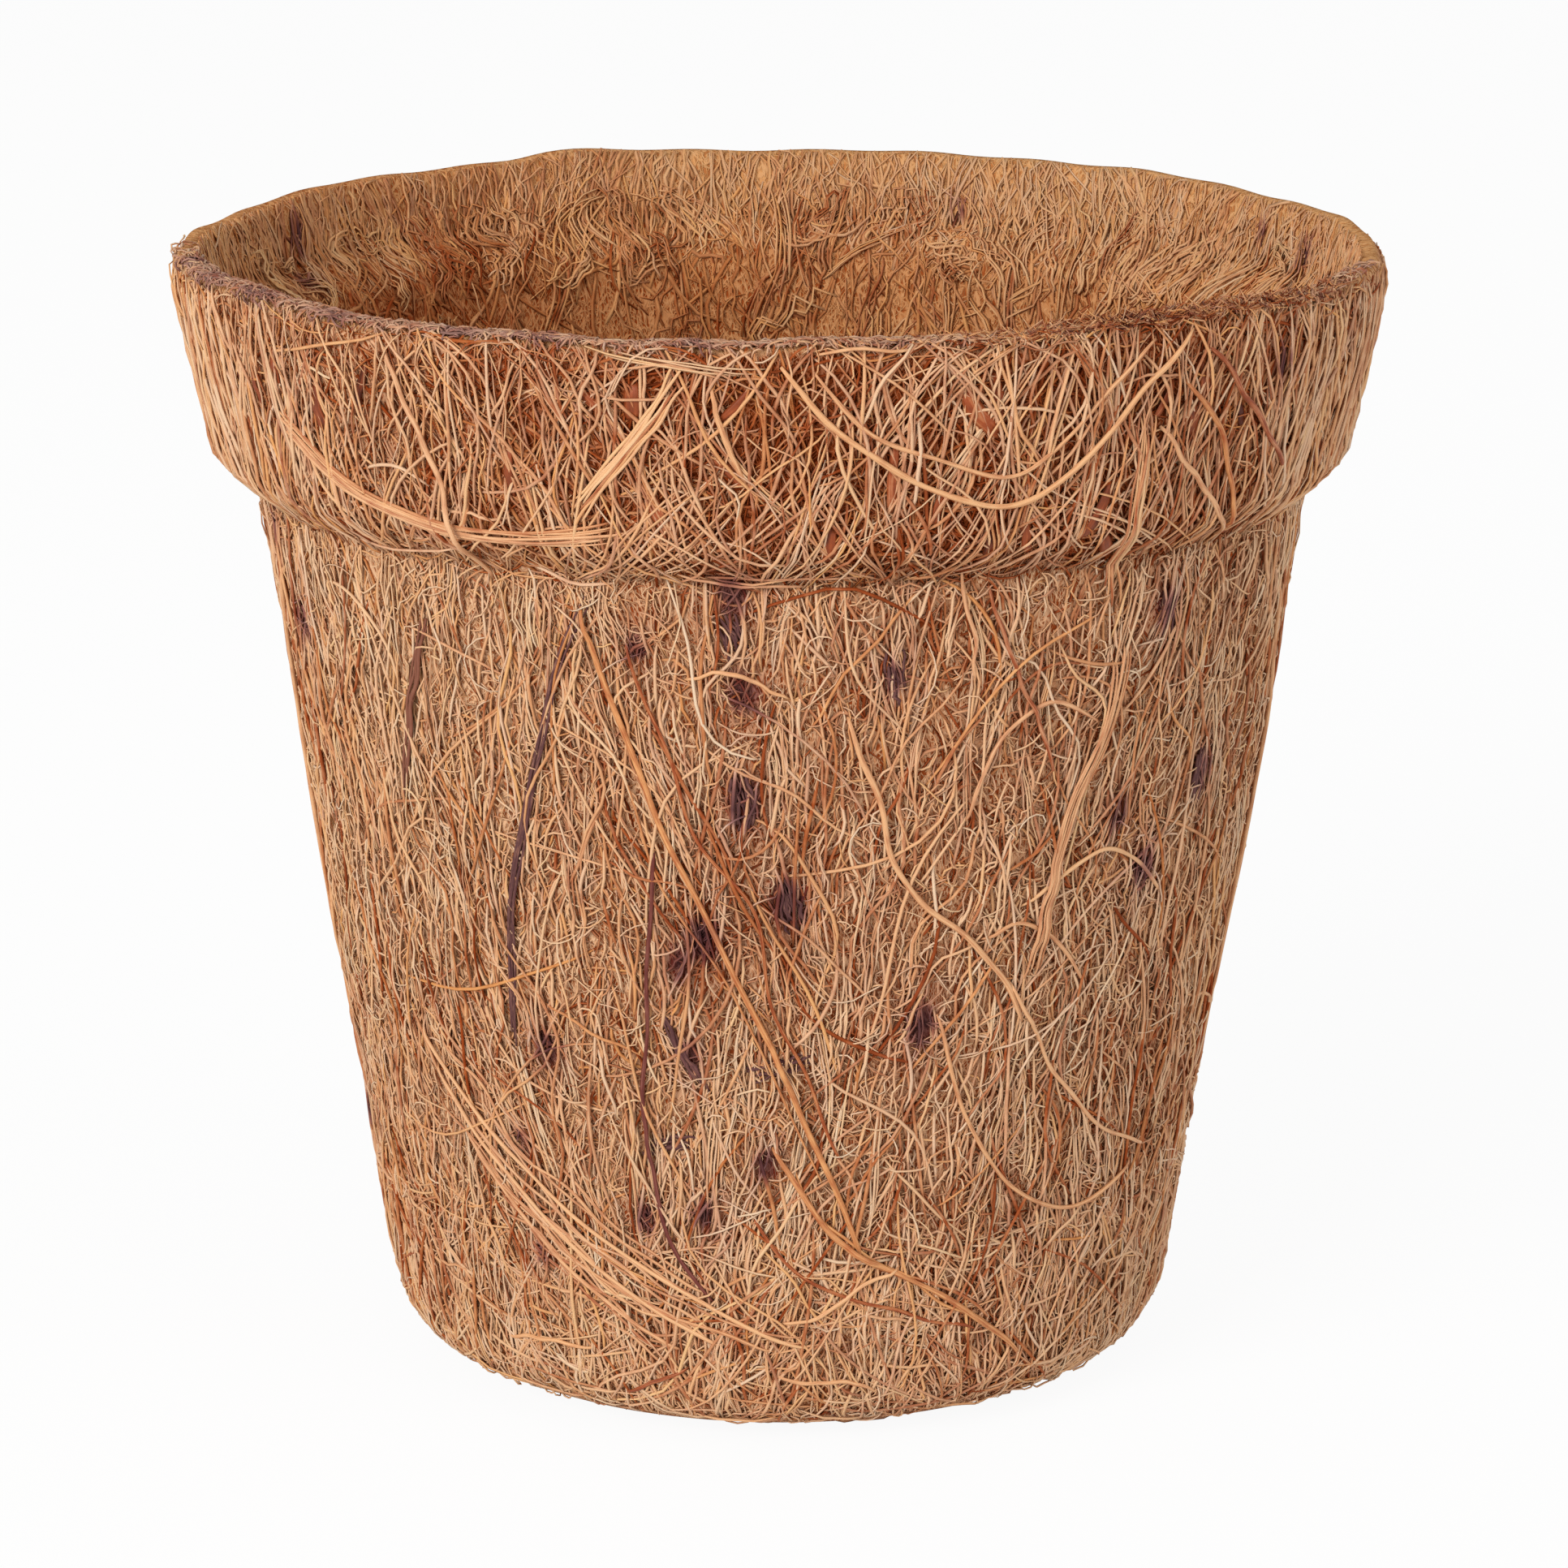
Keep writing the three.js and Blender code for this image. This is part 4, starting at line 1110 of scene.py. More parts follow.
class COIR_OT_husk(bpy.types.Operator):
    """Presses the dark husk strips and flakes into the felt"""

    bl_idname = "coir.husk"
    bl_label = "Husk Strips"

    # Flakes are short and broad. Strips are long, and their fibres lie close.
    FLAKE_LENGTH = 7 * MM
    FLAKE_FIBRES = 8
    FLAKE_LIFT = -0.1 * MM
    FLAKE_SHORTEST = 0.45
    STRIP_FIBRES = 4
    STRIP_SLIMNESS = 0.4
    STRIP_LIFT = 0.1 * MM
    STRIP_SHORTEST = 0.75

    # The dark fibres that both are made of.
    SIDES = 5
    LEAST_RINGS = 5
    PLACE_STRAY = 0.4
    WAVER = 0.1 * MM
    LIFT_STRAY = (-0.12, 0.06)
    END_DIVE = 0.3 * MM
    RADII = (0.1, 0.2)
    END_WIDTH = 0.4
    UNEVENNESS = 0.12
    WIDTH_LIMITS = (0.6, 1.4)
    FLATNESS = 0.6
    TONE = (0.3, 0.1)
    REDNESS = {"husk": 0.05, "red": 0.75}

    # Bits of husk in the collar.
    BIT_COUNT = 90
    BITS_TOP = 2 * MM
    BITS = dict(
        width=(0.7, 1.5), length=(3, 6), lift=(-0.2, 0.02), tone=(0.2, 0.05), warmth=(0.6, 0.15),
        lean=crossing, turn=0.2, sides=6, flatness=0.2, margin=2)

    def add_husk(self, heap, rng, pile, kind, colour, course):
        """One strip or flake, of dark fibres side by side that begin and end unevenly."""
        spread = getattr(settings()[1], f"{kind}_width")
        track = pile.track(course)
        fibres, middle, shortest = self.FLAKE_FIBRES, self.FLAKE_LIFT, self.FLAKE_SHORTEST
        if lengths_along(track)[-1] >= self.FLAKE_LENGTH:
            fibres, middle, shortest = self.STRIP_FIBRES, self.STRIP_LIFT, self.STRIP_SHORTEST
            spread *= self.STRIP_SLIMNESS
        across = sideways(track)
        for fibre in range(fibres):
            stray = rng.uniform(-self.PLACE_STRAY, self.PLACE_STRAY)
            place = ((fibre + stray) / (fibres - 1) - 0.5) * spread
            part = random_part(rng, track, shortest, 1.0, self.LEAST_RINGS)
            share = np.linspace(0, 1, part.stop - part.start)
            run = (track + across * place)[part] + across[part] * waver(rng, share, self.WAVER)[:, None]
            arch = arched(share, end=0.02, power=0.4)
            lift = middle + rng.uniform(*self.LIFT_STRAY) * MM
            points, normals = pile.points(run, lift * arch - self.END_DIVE * (1 - arch))
            radii = rng.uniform(*self.RADII) * MM * (self.END_WIDTH + (1 - self.END_WIDTH) * arch)
            radii = radii * np.clip(1 + waver(rng, share, self.UNEVENNESS, 2, 6), *self.WIDTH_LIMITS)
            tone, stain = rng.normal(*self.TONE), np.ones(len(share))
            red = self.REDNESS[colour]
            heap.add_one(points, normals, radii, self.SIDES, tone, red, stain, self.FLATNESS)

    def execute(self, context):
        rng = np.random.default_rng(settings()[1].seed + 2)
        pile, heap, bits = Pile(), Heap(), Heap()
        for kind, colour, course in HUSK_COURSES.values():
            self.add_husk(heap, rng, pile, kind, colour, course)
        heap.build("husk_strips", "husk_skin", "husk", list(HUSK_COURSES))
        bottom = pile.face.depth_at(fold_height())
        scatter([bits], rng, pile.face, self.BITS_TOP, bottom, count=self.BIT_COUNT, **self.BITS)
        bits.build("husk_bits", "coarse_strand", "husk")
        return {"FINISHED"}


# Materials

class Web:
    """Adds and joins the nodes of one material, node group or world."""

    # Range in which most of a noise pattern lies, and the places of a Mix node's colour sockets.
    NOISE_RANGE = (0.3, 0.7)
    FIRST_COLOUR, SECOND_COLOUR, MIXED_COLOUR = 6, 7, 2

    def __init__(self, tree):
        self.nodes, self.links = tree.nodes, tree.links

    def feed(self, socket, value):
        """Links a socket to another one, or gives it a plain value or colour."""
        if isinstance(value, bpy.types.NodeSocket):
            self.links.new(value, socket)
        elif socket.type == "RGBA":
            socket.default_value = (*value, 1)
        else:
            socket.default_value = value

    def add(self, kind, inputs=(), **values):
        """Adds a node with its own values, feeds its inputs and gives its outputs."""
        node = self.nodes.new(f"ShaderNode{kind}")
        for name, value in values.items():
            setattr(node, name, value)
        for socket, value in dict(inputs).items():
            self.feed(node.inputs[socket], value)
        return node.outputs

    def mixed(self, label, factor, first, second, blend="MIX"):
        """A colour mix."""
        inputs = {"Factor": factor, self.FIRST_COLOUR: first, self.SECOND_COLOUR: second}
        return self.add("Mix", inputs, data_type="RGBA", blend_type=blend, label=label)[self.MIXED_COLOUR]

    def ranged(self, value, low, high, to_low=0.0, to_high=1.0):
        """A value stretched from one range to another, clamped."""
        inputs = {"Value": value, "From Min": low, "From Max": high, "To Min": to_low, "To Max": to_high}
        return self.add("MapRange", inputs)["Result"]

    def varied(self, noise, least, most):
        """A noise pattern stretched to run from least to most."""
        return self.ranged(noise, *self.NOISE_RANGE, least, most)

    def math(self, operation, first, second):
        return self.add("Math", {0: first, 1: second}, operation=operation)["Value"]

    def noise(self, place, detail, stretch):
        """A noise pattern on stretched coordinates."""
        stretched = self.add("Mapping", {"Vector": place, "Scale": stretch})["Vector"]
        return self.add("TexNoise", {"Vector": stretched, "Scale": 1, "Detail": detail})["Fac"]

    def streaks(self, place, turn, size, lines):
        """Thin wavy lines side by side like matted fibre, from 0 in the gaps to 1 on the fibres."""
        inputs = {"Vector": place, "Rotation": (0, 0, turn), "Scale": (*size, 1)}
        turned_place = self.add("Mapping", inputs, vector_type="TEXTURE")["Vector"]
        noise = self.add("TexNoise", {"Vector": turned_place, "Scale": 1, "Detail": 1.5})["Fac"]
        return self.ranged(self.math("SINE", self.math("MULTIPLY", noise, lines), 0.0), 0.0, 0.95)

    def attribute(self, name, output):
        return self.add("Attribute", attribute_name=name)[output]

    def layout(self, name):
        return self.add("UVMap", uv_map=name)["UV"]

    def tint(self):
        """The piece's own tone, warmth and stain."""
        parts = self.add("SeparateColor", {"Color": self.attribute("Tint", "Color")})
        return parts["Red"], parts["Green"], parts["Blue"]

    def coir(self, tone, warmth, stain):
        """The colour of coir with a tone, a warmth and a stain."""
        inputs = {"Tone": tone, "Warmth": warmth, "Stain": stain}
        return self.add("Group", inputs, node_tree=coir_colour_group())["Color"]

    def relief(self, height, strength, distance):
        return self.add("Bump", {"Height": height, "Strength": strength, "Distance": distance})["Normal"]


def coir_colour_group():
    """Node group: a fibre's tone, golden warmth and husk stain, to a colour."""
    made = bpy.data.node_groups.get("Coir colour")
    if made:
        return made
    colours = settings()[2]
    group = bpy.data.node_groups.new("Coir colour", "ShaderNodeTree")
    for name in ("Tone", "Warmth", "Stain"):
        group.interface.new_socket(name, in_out="INPUT", socket_type="NodeSocketFloat")
    group.interface.new_socket("Color", in_out="OUTPUT", socket_type="NodeSocketColor")
    web = Web(group)
    source, result = group.nodes.new("NodeGroupInput").outputs, group.nodes.new("NodeGroupOutput").inputs
    tone, warmth, stain = source["Tone"], source["Warmth"], source["Stain"]
    colour = web.mixed("brown", web.ranged(tone, 0.0, 0.33), colours.deep, colours.brown)
    colour = web.mixed("tan", web.ranged(tone, 0.3, 0.64), colour, colours.tan)
    colour = web.mixed("pale", web.ranged(tone, 0.6, 1.0), colour, colours.pale)
    colour = web.mixed("warmth", web.ranged(warmth, 0.0, 1.0), colour, colours.warm, "MULTIPLY")
    colour = web.mixed("mauve", web.ranged(stain, 0.05, 0.55), colour, colours.mauve, "MULTIPLY")
    colour = web.mixed("stain", web.ranged(stain, 0.3, 1.0, 0.0, 0.9), colour, colours.stain)
    web.feed(result["Color"], colour)
    return group


def dress_fibre(web, shader):
    """Dull fibre with a slight sheen, mottled along its length."""
    tone, warmth, stain = web.tint()
    place = web.add("TexCoord")["Object"]
    mottle = web.noise(place, detail=3, stretch=(700, 700, 700))
    tone = web.math("ADD", tone, web.varied(mottle, -0.09, 0.09))
    web.feed(shader["Base Color"], web.coir(tone, warmth, stain))


def dress_cut_ends(web, shader):
    """Trimmed fibre ends: greyer than the fibres, with dark and pale flecks."""
    tone, warmth, stain = web.tint()
    place = web.add("TexCoord")["Object"]
    fleck = web.noise(place, detail=4, stretch=(1100, 1100, 1100))
    grey = web.noise(place, detail=2, stretch=(160, 160, 160))
    tone = web.math("ADD", tone, web.varied(fleck, -0.12, 0.12))
    share = web.math("MULTIPLY", web.varied(grey, 0.35, 0.95), web.ranged(warmth, 0.0, 0.8, 1.0, 0.0))
    colour = web.mixed("cut", share, web.coir(tone, warmth, stain), settings()[2].cut)
    web.feed(shader["Base Color"], colour)


def dress_strand(web, shader):
    """Coarse strand: fine grooves and streaks along its length."""
    tone, warmth, stain = web.tint()
    wrap = web.layout("Strand")
    streak = web.noise(wrap, detail=4, stretch=(0.35, 9, 1))
    blotch = web.noise(wrap, detail=3, stretch=(0.6, 1.2, 1))
    tone = web.math("ADD", tone, web.varied(streak, -0.16, 0.14))
    tone = web.math("ADD", tone, web.varied(blotch, -0.1, 0.08))
    web.feed(shader["Base Color"], web.coir(tone, warmth, stain))
    web.feed(shader["Normal"], web.relief(streak, strength=0.6, distance=0.05 * MM))


def dress_felt(web, shader):
    """Matted felt under the fibres: dark, with crossing streaks of lighter fibre and their relief."""
    # The felt's dark tone is partly its own colour and partly painted shade in the gaps between the fibres.
    tone, warmth, stain = web.tint()
    wrap = web.layout("Wrap")
    matted = 0.0
    for turn, size, lines, share in FELT_STREAKS:
        layer = web.math("MULTIPLY", web.streaks(wrap, turn, size, lines), share)
        matted = web.math("MAXIMUM", layer, matted)
    matted = web.math("MULTIPLY", matted, web.attribute("Matting", "Fac"))
    tone = web.math("ADD", tone, web.ranged(matted, 0.0, 1.0, -0.14, 0.27))
    warmth = web.math("ADD", warmth, web.ranged(matted, 0.3, 1.0, 0.0, -0.4))
    web.feed(shader["Base Color"], web.coir(tone, warmth, stain))
    web.feed(shader["Normal"], web.relief(matted, strength=0.8, distance=0.25 * MM))


def dress_husk(web, shader):
    """Dark flat husk skin with fine grooves along it and paler worn spots."""
    dark, dull = (0.055, 0.022, 0.026), (0.14, 0.055, 0.05)
    bare, red = (0.32, 0.15, 0.1), (0.24, 0.085, 0.045)
    wrap = web.layout("Strand")
    groove = web.noise(wrap, detail=5, stretch=(0.3, 14, 1))
    worn = web.noise(wrap, detail=4, stretch=(0.8, 2.5, 1))
    colour = web.mixed("grooves", web.ranged(groove, 0.35, 0.65), dark, dull)
    colour = web.mixed("worn", web.ranged(worn, 0.5, 0.68, 0.0, 0.6), colour, bare)
    colour = web.mixed("reddish", web.tint()[1], colour, red)
    web.feed(shader["Base Color"], colour)
    web.feed(shader["Normal"], web.relief(groove, strength=0.7, distance=0.08 * MM))


# Roughness and specular level of each finish, and what feeds its shader.
FINISHES = {
    "matted_felt": (0.9, 0.0, dress_felt),
    "fine_fibre": (0.6, 0.06, dress_fibre),
    "cut_ends": (0.7, 0.1, dress_cut_ends),
    "coarse_strand": (0.5, 0.25, dress_strand),
    "husk_skin": (0.65, 0.12, dress_husk),
}


def new_material(name, roughness, specular):
    """A material with its nodes and its shader."""
    material = bpy.data.materials.new(name)
    material.use_nodes = True
    shader = material.node_tree.nodes["Principled BSDF"]
    shader.inputs["Roughness"].default_value = roughness
    shader.inputs["Specular IOR Level"].default_value = specular
    return material, Web(material.node_tree), shader


def finished(name):
    """The material of a finish, made when it is first asked for."""
    material = bpy.data.materials.get(name)
    if material is None:
        roughness, specular, dress = FINISHES[name]
        material, web, shader = new_material(name, roughness, specular)
        dress(web, shader.inputs)
    return material


# Felt

TURN_STEPS = 240
WELD = 0.01 * MM
STAINED_RADIUS = 25 * MM


def deselect_all():
    if bpy.context.object and bpy.context.object.mode != "OBJECT":
        bpy.ops.object.mode_set(mode="OBJECT")
    bpy.ops.object.select_all(action="DESELECT")


def turned(name, section, closed):
    """Draws a section point by point, spins it round the pot's axis and closes its seam."""
    deselect_all()
    bpy.ops.mesh.primitive_plane_add(size=2 * MM, location=(0, 0, 0))
    obj = bpy.context.object
    obj.name = obj.data.name = name
    bpy.ops.object.mode_set(mode="EDIT")
    bpy.ops.mesh.merge(type="CENTER")
    bpy.ops.transform.translate(value=(section[0][0], 0, section[0][1]))
    for before, after in zip(section, section[1:]):
        move = (after[0] - before[0], 0, after[1] - before[1])
        bpy.ops.mesh.extrude_region_move(TRANSFORM_OT_translate={"value": move})
    bpy.ops.mesh.select_all(action="SELECT")
    if closed:
        bpy.ops.mesh.remove_doubles(threshold=WELD)
    bpy.ops.mesh.spin(steps=TURN_STEPS, angle=2 * math.pi, center=(0, 0, 0), axis=(0, 0, 1))
    bpy.ops.mesh.select_all(action="SELECT")
    bpy.ops.mesh.remove_doubles(threshold=WELD)
    bpy.ops.mesh.normals_make_consistent(inside=False)
    bpy.ops.object.mode_set(mode="OBJECT")
    bpy.ops.object.shade_smooth()
    return obj


def press(obj, section, tone, warmth, matting):
    """Gives spun felt its uneven surface and ragged rim, its tint, and its layout by angle and section.

    Tone takes angles and the indices of section points. Warmth and matting, which is how strongly the
    streaks show, have a value for each section point. The felt near the axis takes no stains.
    """
    mesh = obj.data
    points = np.empty(len(mesh.vertices) * 3)
    mesh.vertices.foreach_get("co", points)
    points = points.reshape(-1, 3)
    angle = np.arctan2(points[:, 0], -points[:, 1])
    radius, height = np.hypot(points[:, 0], points[:, 1]), points[:, 2]
    offsets = np.hypot(radius[:, None] - section[None, :, 0], height[:, None] - section[None, :, 1])
    nearest = offsets.argmin(1)
    along = lengths_along(section)[nearest]
    scale = 1 + bulge(angle, height) / np.maximum(radius, 1 * MM)
    settled = points * np.stack([scale, scale, np.ones_like(scale)], -1)
    settled[:, 2] += raggedness(angle, height)
    mesh.vertices.foreach_set("co", settled.ravel())
    tint = np.ones((len(points), 4))
    tint[:, 0] = tone(angle, nearest)
    tint[:, 1] = warmth[nearest]
    stains = stain_at(settled, OUTER_STAINS, Face.outside())
    tint[:, 2] = np.where(radius > STAINED_RADIUS, stains, 0)
    tint_map(mesh, tint)
    mesh.attributes.new("Matting", "FLOAT", "POINT").data.foreach_set("value", matting[nearest])
    corner, first = np.empty(len(mesh.loops), int), np.empty(len(mesh.polygons), int)
    mesh.loops.foreach_get("vertex_index", corner)
    mesh.polygons.foreach_get("loop_start", first)
    turn = angle[corner]
    face = np.repeat(np.arange(len(first)), np.diff(np.append(first, len(corner))))
    split = (np.maximum.reduceat(turn, first) - np.minimum.reduceat(turn, first) > np.pi)[face]
    turn = np.where(split & (turn < 0), turn + 2 * np.pi, turn)
    uv_map(mesh, "Wrap", np.stack([turn * settings()[0].rim_radius / MM, along[corner] / MM], -1))
    mesh.update()


class COIR_OT_felt(bpy.types.Operator):
    """Presses the felt wall with its collar, ledge, heel and rim, and the felt base that laps into it"""

    bl_idname = "coir.felt"
    bl_label = "Felt Wall and Base"

    SPACING = 1.1 * MM
    LAP_GAP = 0.15 * MM
    RIM_REACH = 4 * MM
    # The collar's felt is dark: partly its own colour, partly painted shade in the deep gaps between its
    # fibres. Within EDGE_REACH of the fold and of the rim it fades to the wall's lighter tone; at the fold
    # this is painted light against the shade under the collar.
    COLLAR_TONE = 0.1
    SIDE_GAIN = 2.2
    EDGE_REACH = 2 * MM
    WALL_TONE = 0.38
    # The felt inside is paler above the ledge (BAND_TONE) than below it (INSIDE_TONE), whose darker tone is
    # painted shade deeper in the pot.
    BAND_TONE = 0.62
    INSIDE_TONE = 0.47
    INSIDE_MATTING = 0.7
    WARMTH = 0.68
    INSIDE_WARMTH = 1.0

    def even(self, corners):
        line = np.array(corners)
        return resampled(line, round(lengths_along(line)[-1] / self.SPACING))

    def wall(self, shape):
        sink, half = shape.sink, shape.thickness / 2
        outer, inner = outside_line(sink)[:0:-1], inside_line(sink)[1:]
        outer, inner = outer[outer[:, 0] > shape.lip_radius], inner[inner[:, 0] > shape.seat_radius]
        section = [(shape.lip_radius, sink), *outer, *rim_line(sink, self.RIM_REACH), *inner]
        section += [(shape.seat_radius, shape.thickness - sink), (shape.seat_radius, half)]
        section += [(shape.lip_radius, half), (shape.lip_radius, sink)]
        section = self.even(section)
        obj = turned("felt_wall", section, True)
        height = section[:, 1]
        outside = np.arange(len(section)) < height.argmax()
        band = height > shape.height - shape.ledge_depth
        # dark is the share of the collar's dark felt, partly painted shade: 1 on the collar, 0 at the fold
        # and the rim.
        from_edges = np.minimum(height - fold_height(), shape.height - height)
        dark = np.where(outside, np.clip(from_edges / self.EDGE_REACH, 0, 1), 0)
        tones = np.where(outside, self.WALL_TONE, np.where(band, self.BAND_TONE, self.INSIDE_TONE))
        collar_shaded_tone = side_tone(self.COLLAR_TONE, self.SIDE_GAIN)
        # Painted light on the wall's left and edges, and painted shade on the left of the inside.
        wall_painted_light, inside_painted_shade = left_lit_tone(0), inside_shaded_tone(0)

        def tone(angle, point):
            plain = tones[point] + np.where(outside[point], wall_painted_light(angle), inside_painted_shade(angle))
            return plain + dark[point] * (collar_shaded_tone(angle) - plain)

        warmth = np.where(outside, self.WARMTH, self.INSIDE_WARMTH)
        press(obj, section, tone, warmth, np.where(outside, 1, self.INSIDE_MATTING))
        dressed(obj, "matted_felt", "coir_felt", ["wall_felt"])

    def base(self, shape):
        sink, lap = shape.sink, shape.thickness / 2 + self.LAP_GAP
        lip, seat = shape.lip_radius - self.LAP_GAP, shape.seat_radius - self.LAP_GAP
        top = shape.base_thickness - sink
        section = self.even([(0, sink), (lip, sink), (lip, lap), (seat, lap), (seat, top), (0, top)])
        obj = turned("felt_base", section, False)
        even = np.ones(len(section))

        def tone(angle, point):
            return self.INSIDE_TONE

        press(obj, section, tone, even * self.INSIDE_WARMTH, even * self.INSIDE_MATTING)
        dressed(obj, "matted_felt", "coir_felt_inside", ["base_felt"])

    def execute(self, context):
        shape = settings()[0]
        self.wall(shape)
        self.base(shape)
        return {"FINISHED"}


# Fine fibre

def fibre_heaps(parts):
    return {part: Heap() for part in parts}


def build_fibres(name, heaps, slot):
    for part, heap in heaps.items():
        heap.build(f"{name}_{part}", "fine_fibre", slot)


class COIR_OT_wall_fibres(bpy.types.Operator):
    """Covers the wall: dark mat, curls, upright wisps, thicker fibres, chopped fibre at the heel"""

    bl_idname = "coir.wall_fibres"
    bl_label = "Wall Fibres"

    HEEL_TOP = 20 * MM
    FOOT = 1.4 * MM
    FOLD_LAP = 0.3 * MM
    # The lowest layers are darker and warmer than those on top: partly their own colour, partly painted
    # shade deep in the mat.
    LAYERS = (
        dict(share=0.25, width=(0.22, 0.34), length=(4, 9), lift=(-0.38, -0.15),
             tone=(left_lit_tone(0.47), 0.13), warmth=(0.55, 0.2), lean=upright(0.4), turn=wall_turn, rings=5),
        dict(share=0.25, width=(0.16, 0.25), length=(2, 5), lift=(-0.36, -0.08),
             tone=(left_lit_tone(0.57), 0.12), warmth=(0.45, 0.2), lean=every_way, turn=2.2, hook=0.6, rings=5),
        dict(share=0.48, width=(0.13, 0.21), length=(1.8, 4.6), lift=(-0.22, 0.12), tone=(0.67, 0.11),
             warmth=(0.32, 0.18), lean=upright(curliness), turn=wall_turn, hook=1.2, sway=0.45, rings=6),
        dict(share=0.045, width=(0.17, 0.26), length=(5, 13), lift=(-0.2, 0.14), tone=(0.68, 0.1),
             warmth=(0.32, 0.18), lean=upright(0.12), turn=0.35, sway=0.15, members=4, flatness=0.7),
        dict(share=0.17, width=(0.2, 0.32), length=(3, 9), lift=(-0.16, 0.14), tone=(0.665, 0.1),
             warmth=(0.34, 0.18), lean=upright(openness), turn=0.6, rings=6, sides=4, flatness=0.7),
        dict(share=0.02, width=(0.22, 0.34), length=(8, 20), lift=(0.0, 0.2), tone=(0.4, 0.07),
             warmth=(0.6, 0.2), lean=upright(0.4), turn=0.7, rings=9, sides=4),
        dict(share=0.02, width=(0.2, 0.32), length=(10, 28), lift=(-0.02, 0.22), tone=(0.62, 0.12),
             warmth=(0.45, 0.25), lean=upright(0.55), turn=1.1, sway=0.25, rings=12, sides=4),
        dict(share=0.035, width=(0.14, 0.2), length=(3, 8), lift=(0.06, 0.24), tone=(0.78, 0.09),
             warmth=(0.2, 0.2), lean=every_way, turn=2.0, rings=8),
    )
    HEEL = dict(share=0.075, width=(0.2, 0.32), length=(4, 11), lift=(-0.08, 0.18), tone=(0.63, 0.13),
                warmth=(0.42, 0.2), lean=every_way, turn=0.5)

    def execute(self, context):
        fibres = settings()[1]
        face, heaps = Face.outside(), fibre_heaps(SECTORS)
        zone = dict(
            heaps=heaps.values(), rng=np.random.default_rng(fibres.seed + 3), face=face,
            count=fibres.wall_count, bottom=face.depth_at(self.FOOT), stains=OUTER_STAINS)
        for layer in self.LAYERS:
            scatter(top=face.depth_at(fold_height()) - self.FOLD_LAP, margin=0.8, **zone, **layer)
        scatter(top=face.depth_at(self.HEEL_TOP), **zone, **self.HEEL)
        build_fibres("wall_fibres", heaps, "coir_felt")
        return {"FINISHED"}


class COIR_OT_collar_fibres(bpy.types.Operator):
    """Covers the collar and its shoulder with long, straight fibres that cross over an open, dark mat"""

    bl_idname = "coir.collar_fibres"
    bl_label = "Collar Fibres"

    FOLD_LAP = 0.6 * MM
    # The lowest layers are darker and warmer than those on top: partly their own colour, partly painted
    # shade in the open, dark mat.
    LAYERS = (
        dict(share=0.28, width=(0.22, 0.34), length=(5, 13), lift=(-0.44, -0.24),
             tone=(side_tone(0.27), 0.1), warmth=(0.85, 0.2), lean=every_way, turn=0.8, rings=5),
        dict(share=0.36, width=(0.16, 0.24), length=(2.5, 7), lift=(-0.36, -0.05),
             tone=(side_tone(0.45), 0.12), warmth=(0.6, 0.25), lean=every_way, turn=1.6, rings=6),
        dict(share=0.24, width=(0.15, 0.23), length=(5, 13), lift=(-0.2, 0.24),
             tone=(side_tone(0.515), 0.1), warmth=(0.33, 0.22), lean=crossing, turn=0.9, sway=0.16,
             rings=8),
        dict(share=0.2, width=(0.21, 0.33), length=(6, 16), lift=(-0.12, 0.28),
             tone=(side_tone(0.505), 0.1), warmth=(0.38, 0.22), lean=crossing, turn=0.8, sway=0.14, rings=9,
             sides=4),
        dict(share=0.02, width=(0.2, 0.3), length=(10, 18), lift=(-0.05, 0.24), tone=(side_tone(0.57), 0.1),
             warmth=(0.4, 0.2), lean=crossing, turn=0.2, sway=0.05, members=4),
    )

    def execute(self, context):
        fibres = settings()[1]
        face, heaps = Face.outside(), fibre_heaps(HALVES)
        rng = np.random.default_rng(fibres.seed + 4)
        bottom = face.depth_at(fold_height()) + self.FOLD_LAP
        for layer in self.LAYERS:
            scatter(
                heaps.values(), rng, face, below_rim, bottom, count=fibres.collar_count,
                stains=OUTER_STAINS, margin=0.6, **layer)
        build_fibres("collar_fibres", heaps, "coir_felt")
        return {"FINISHED"}


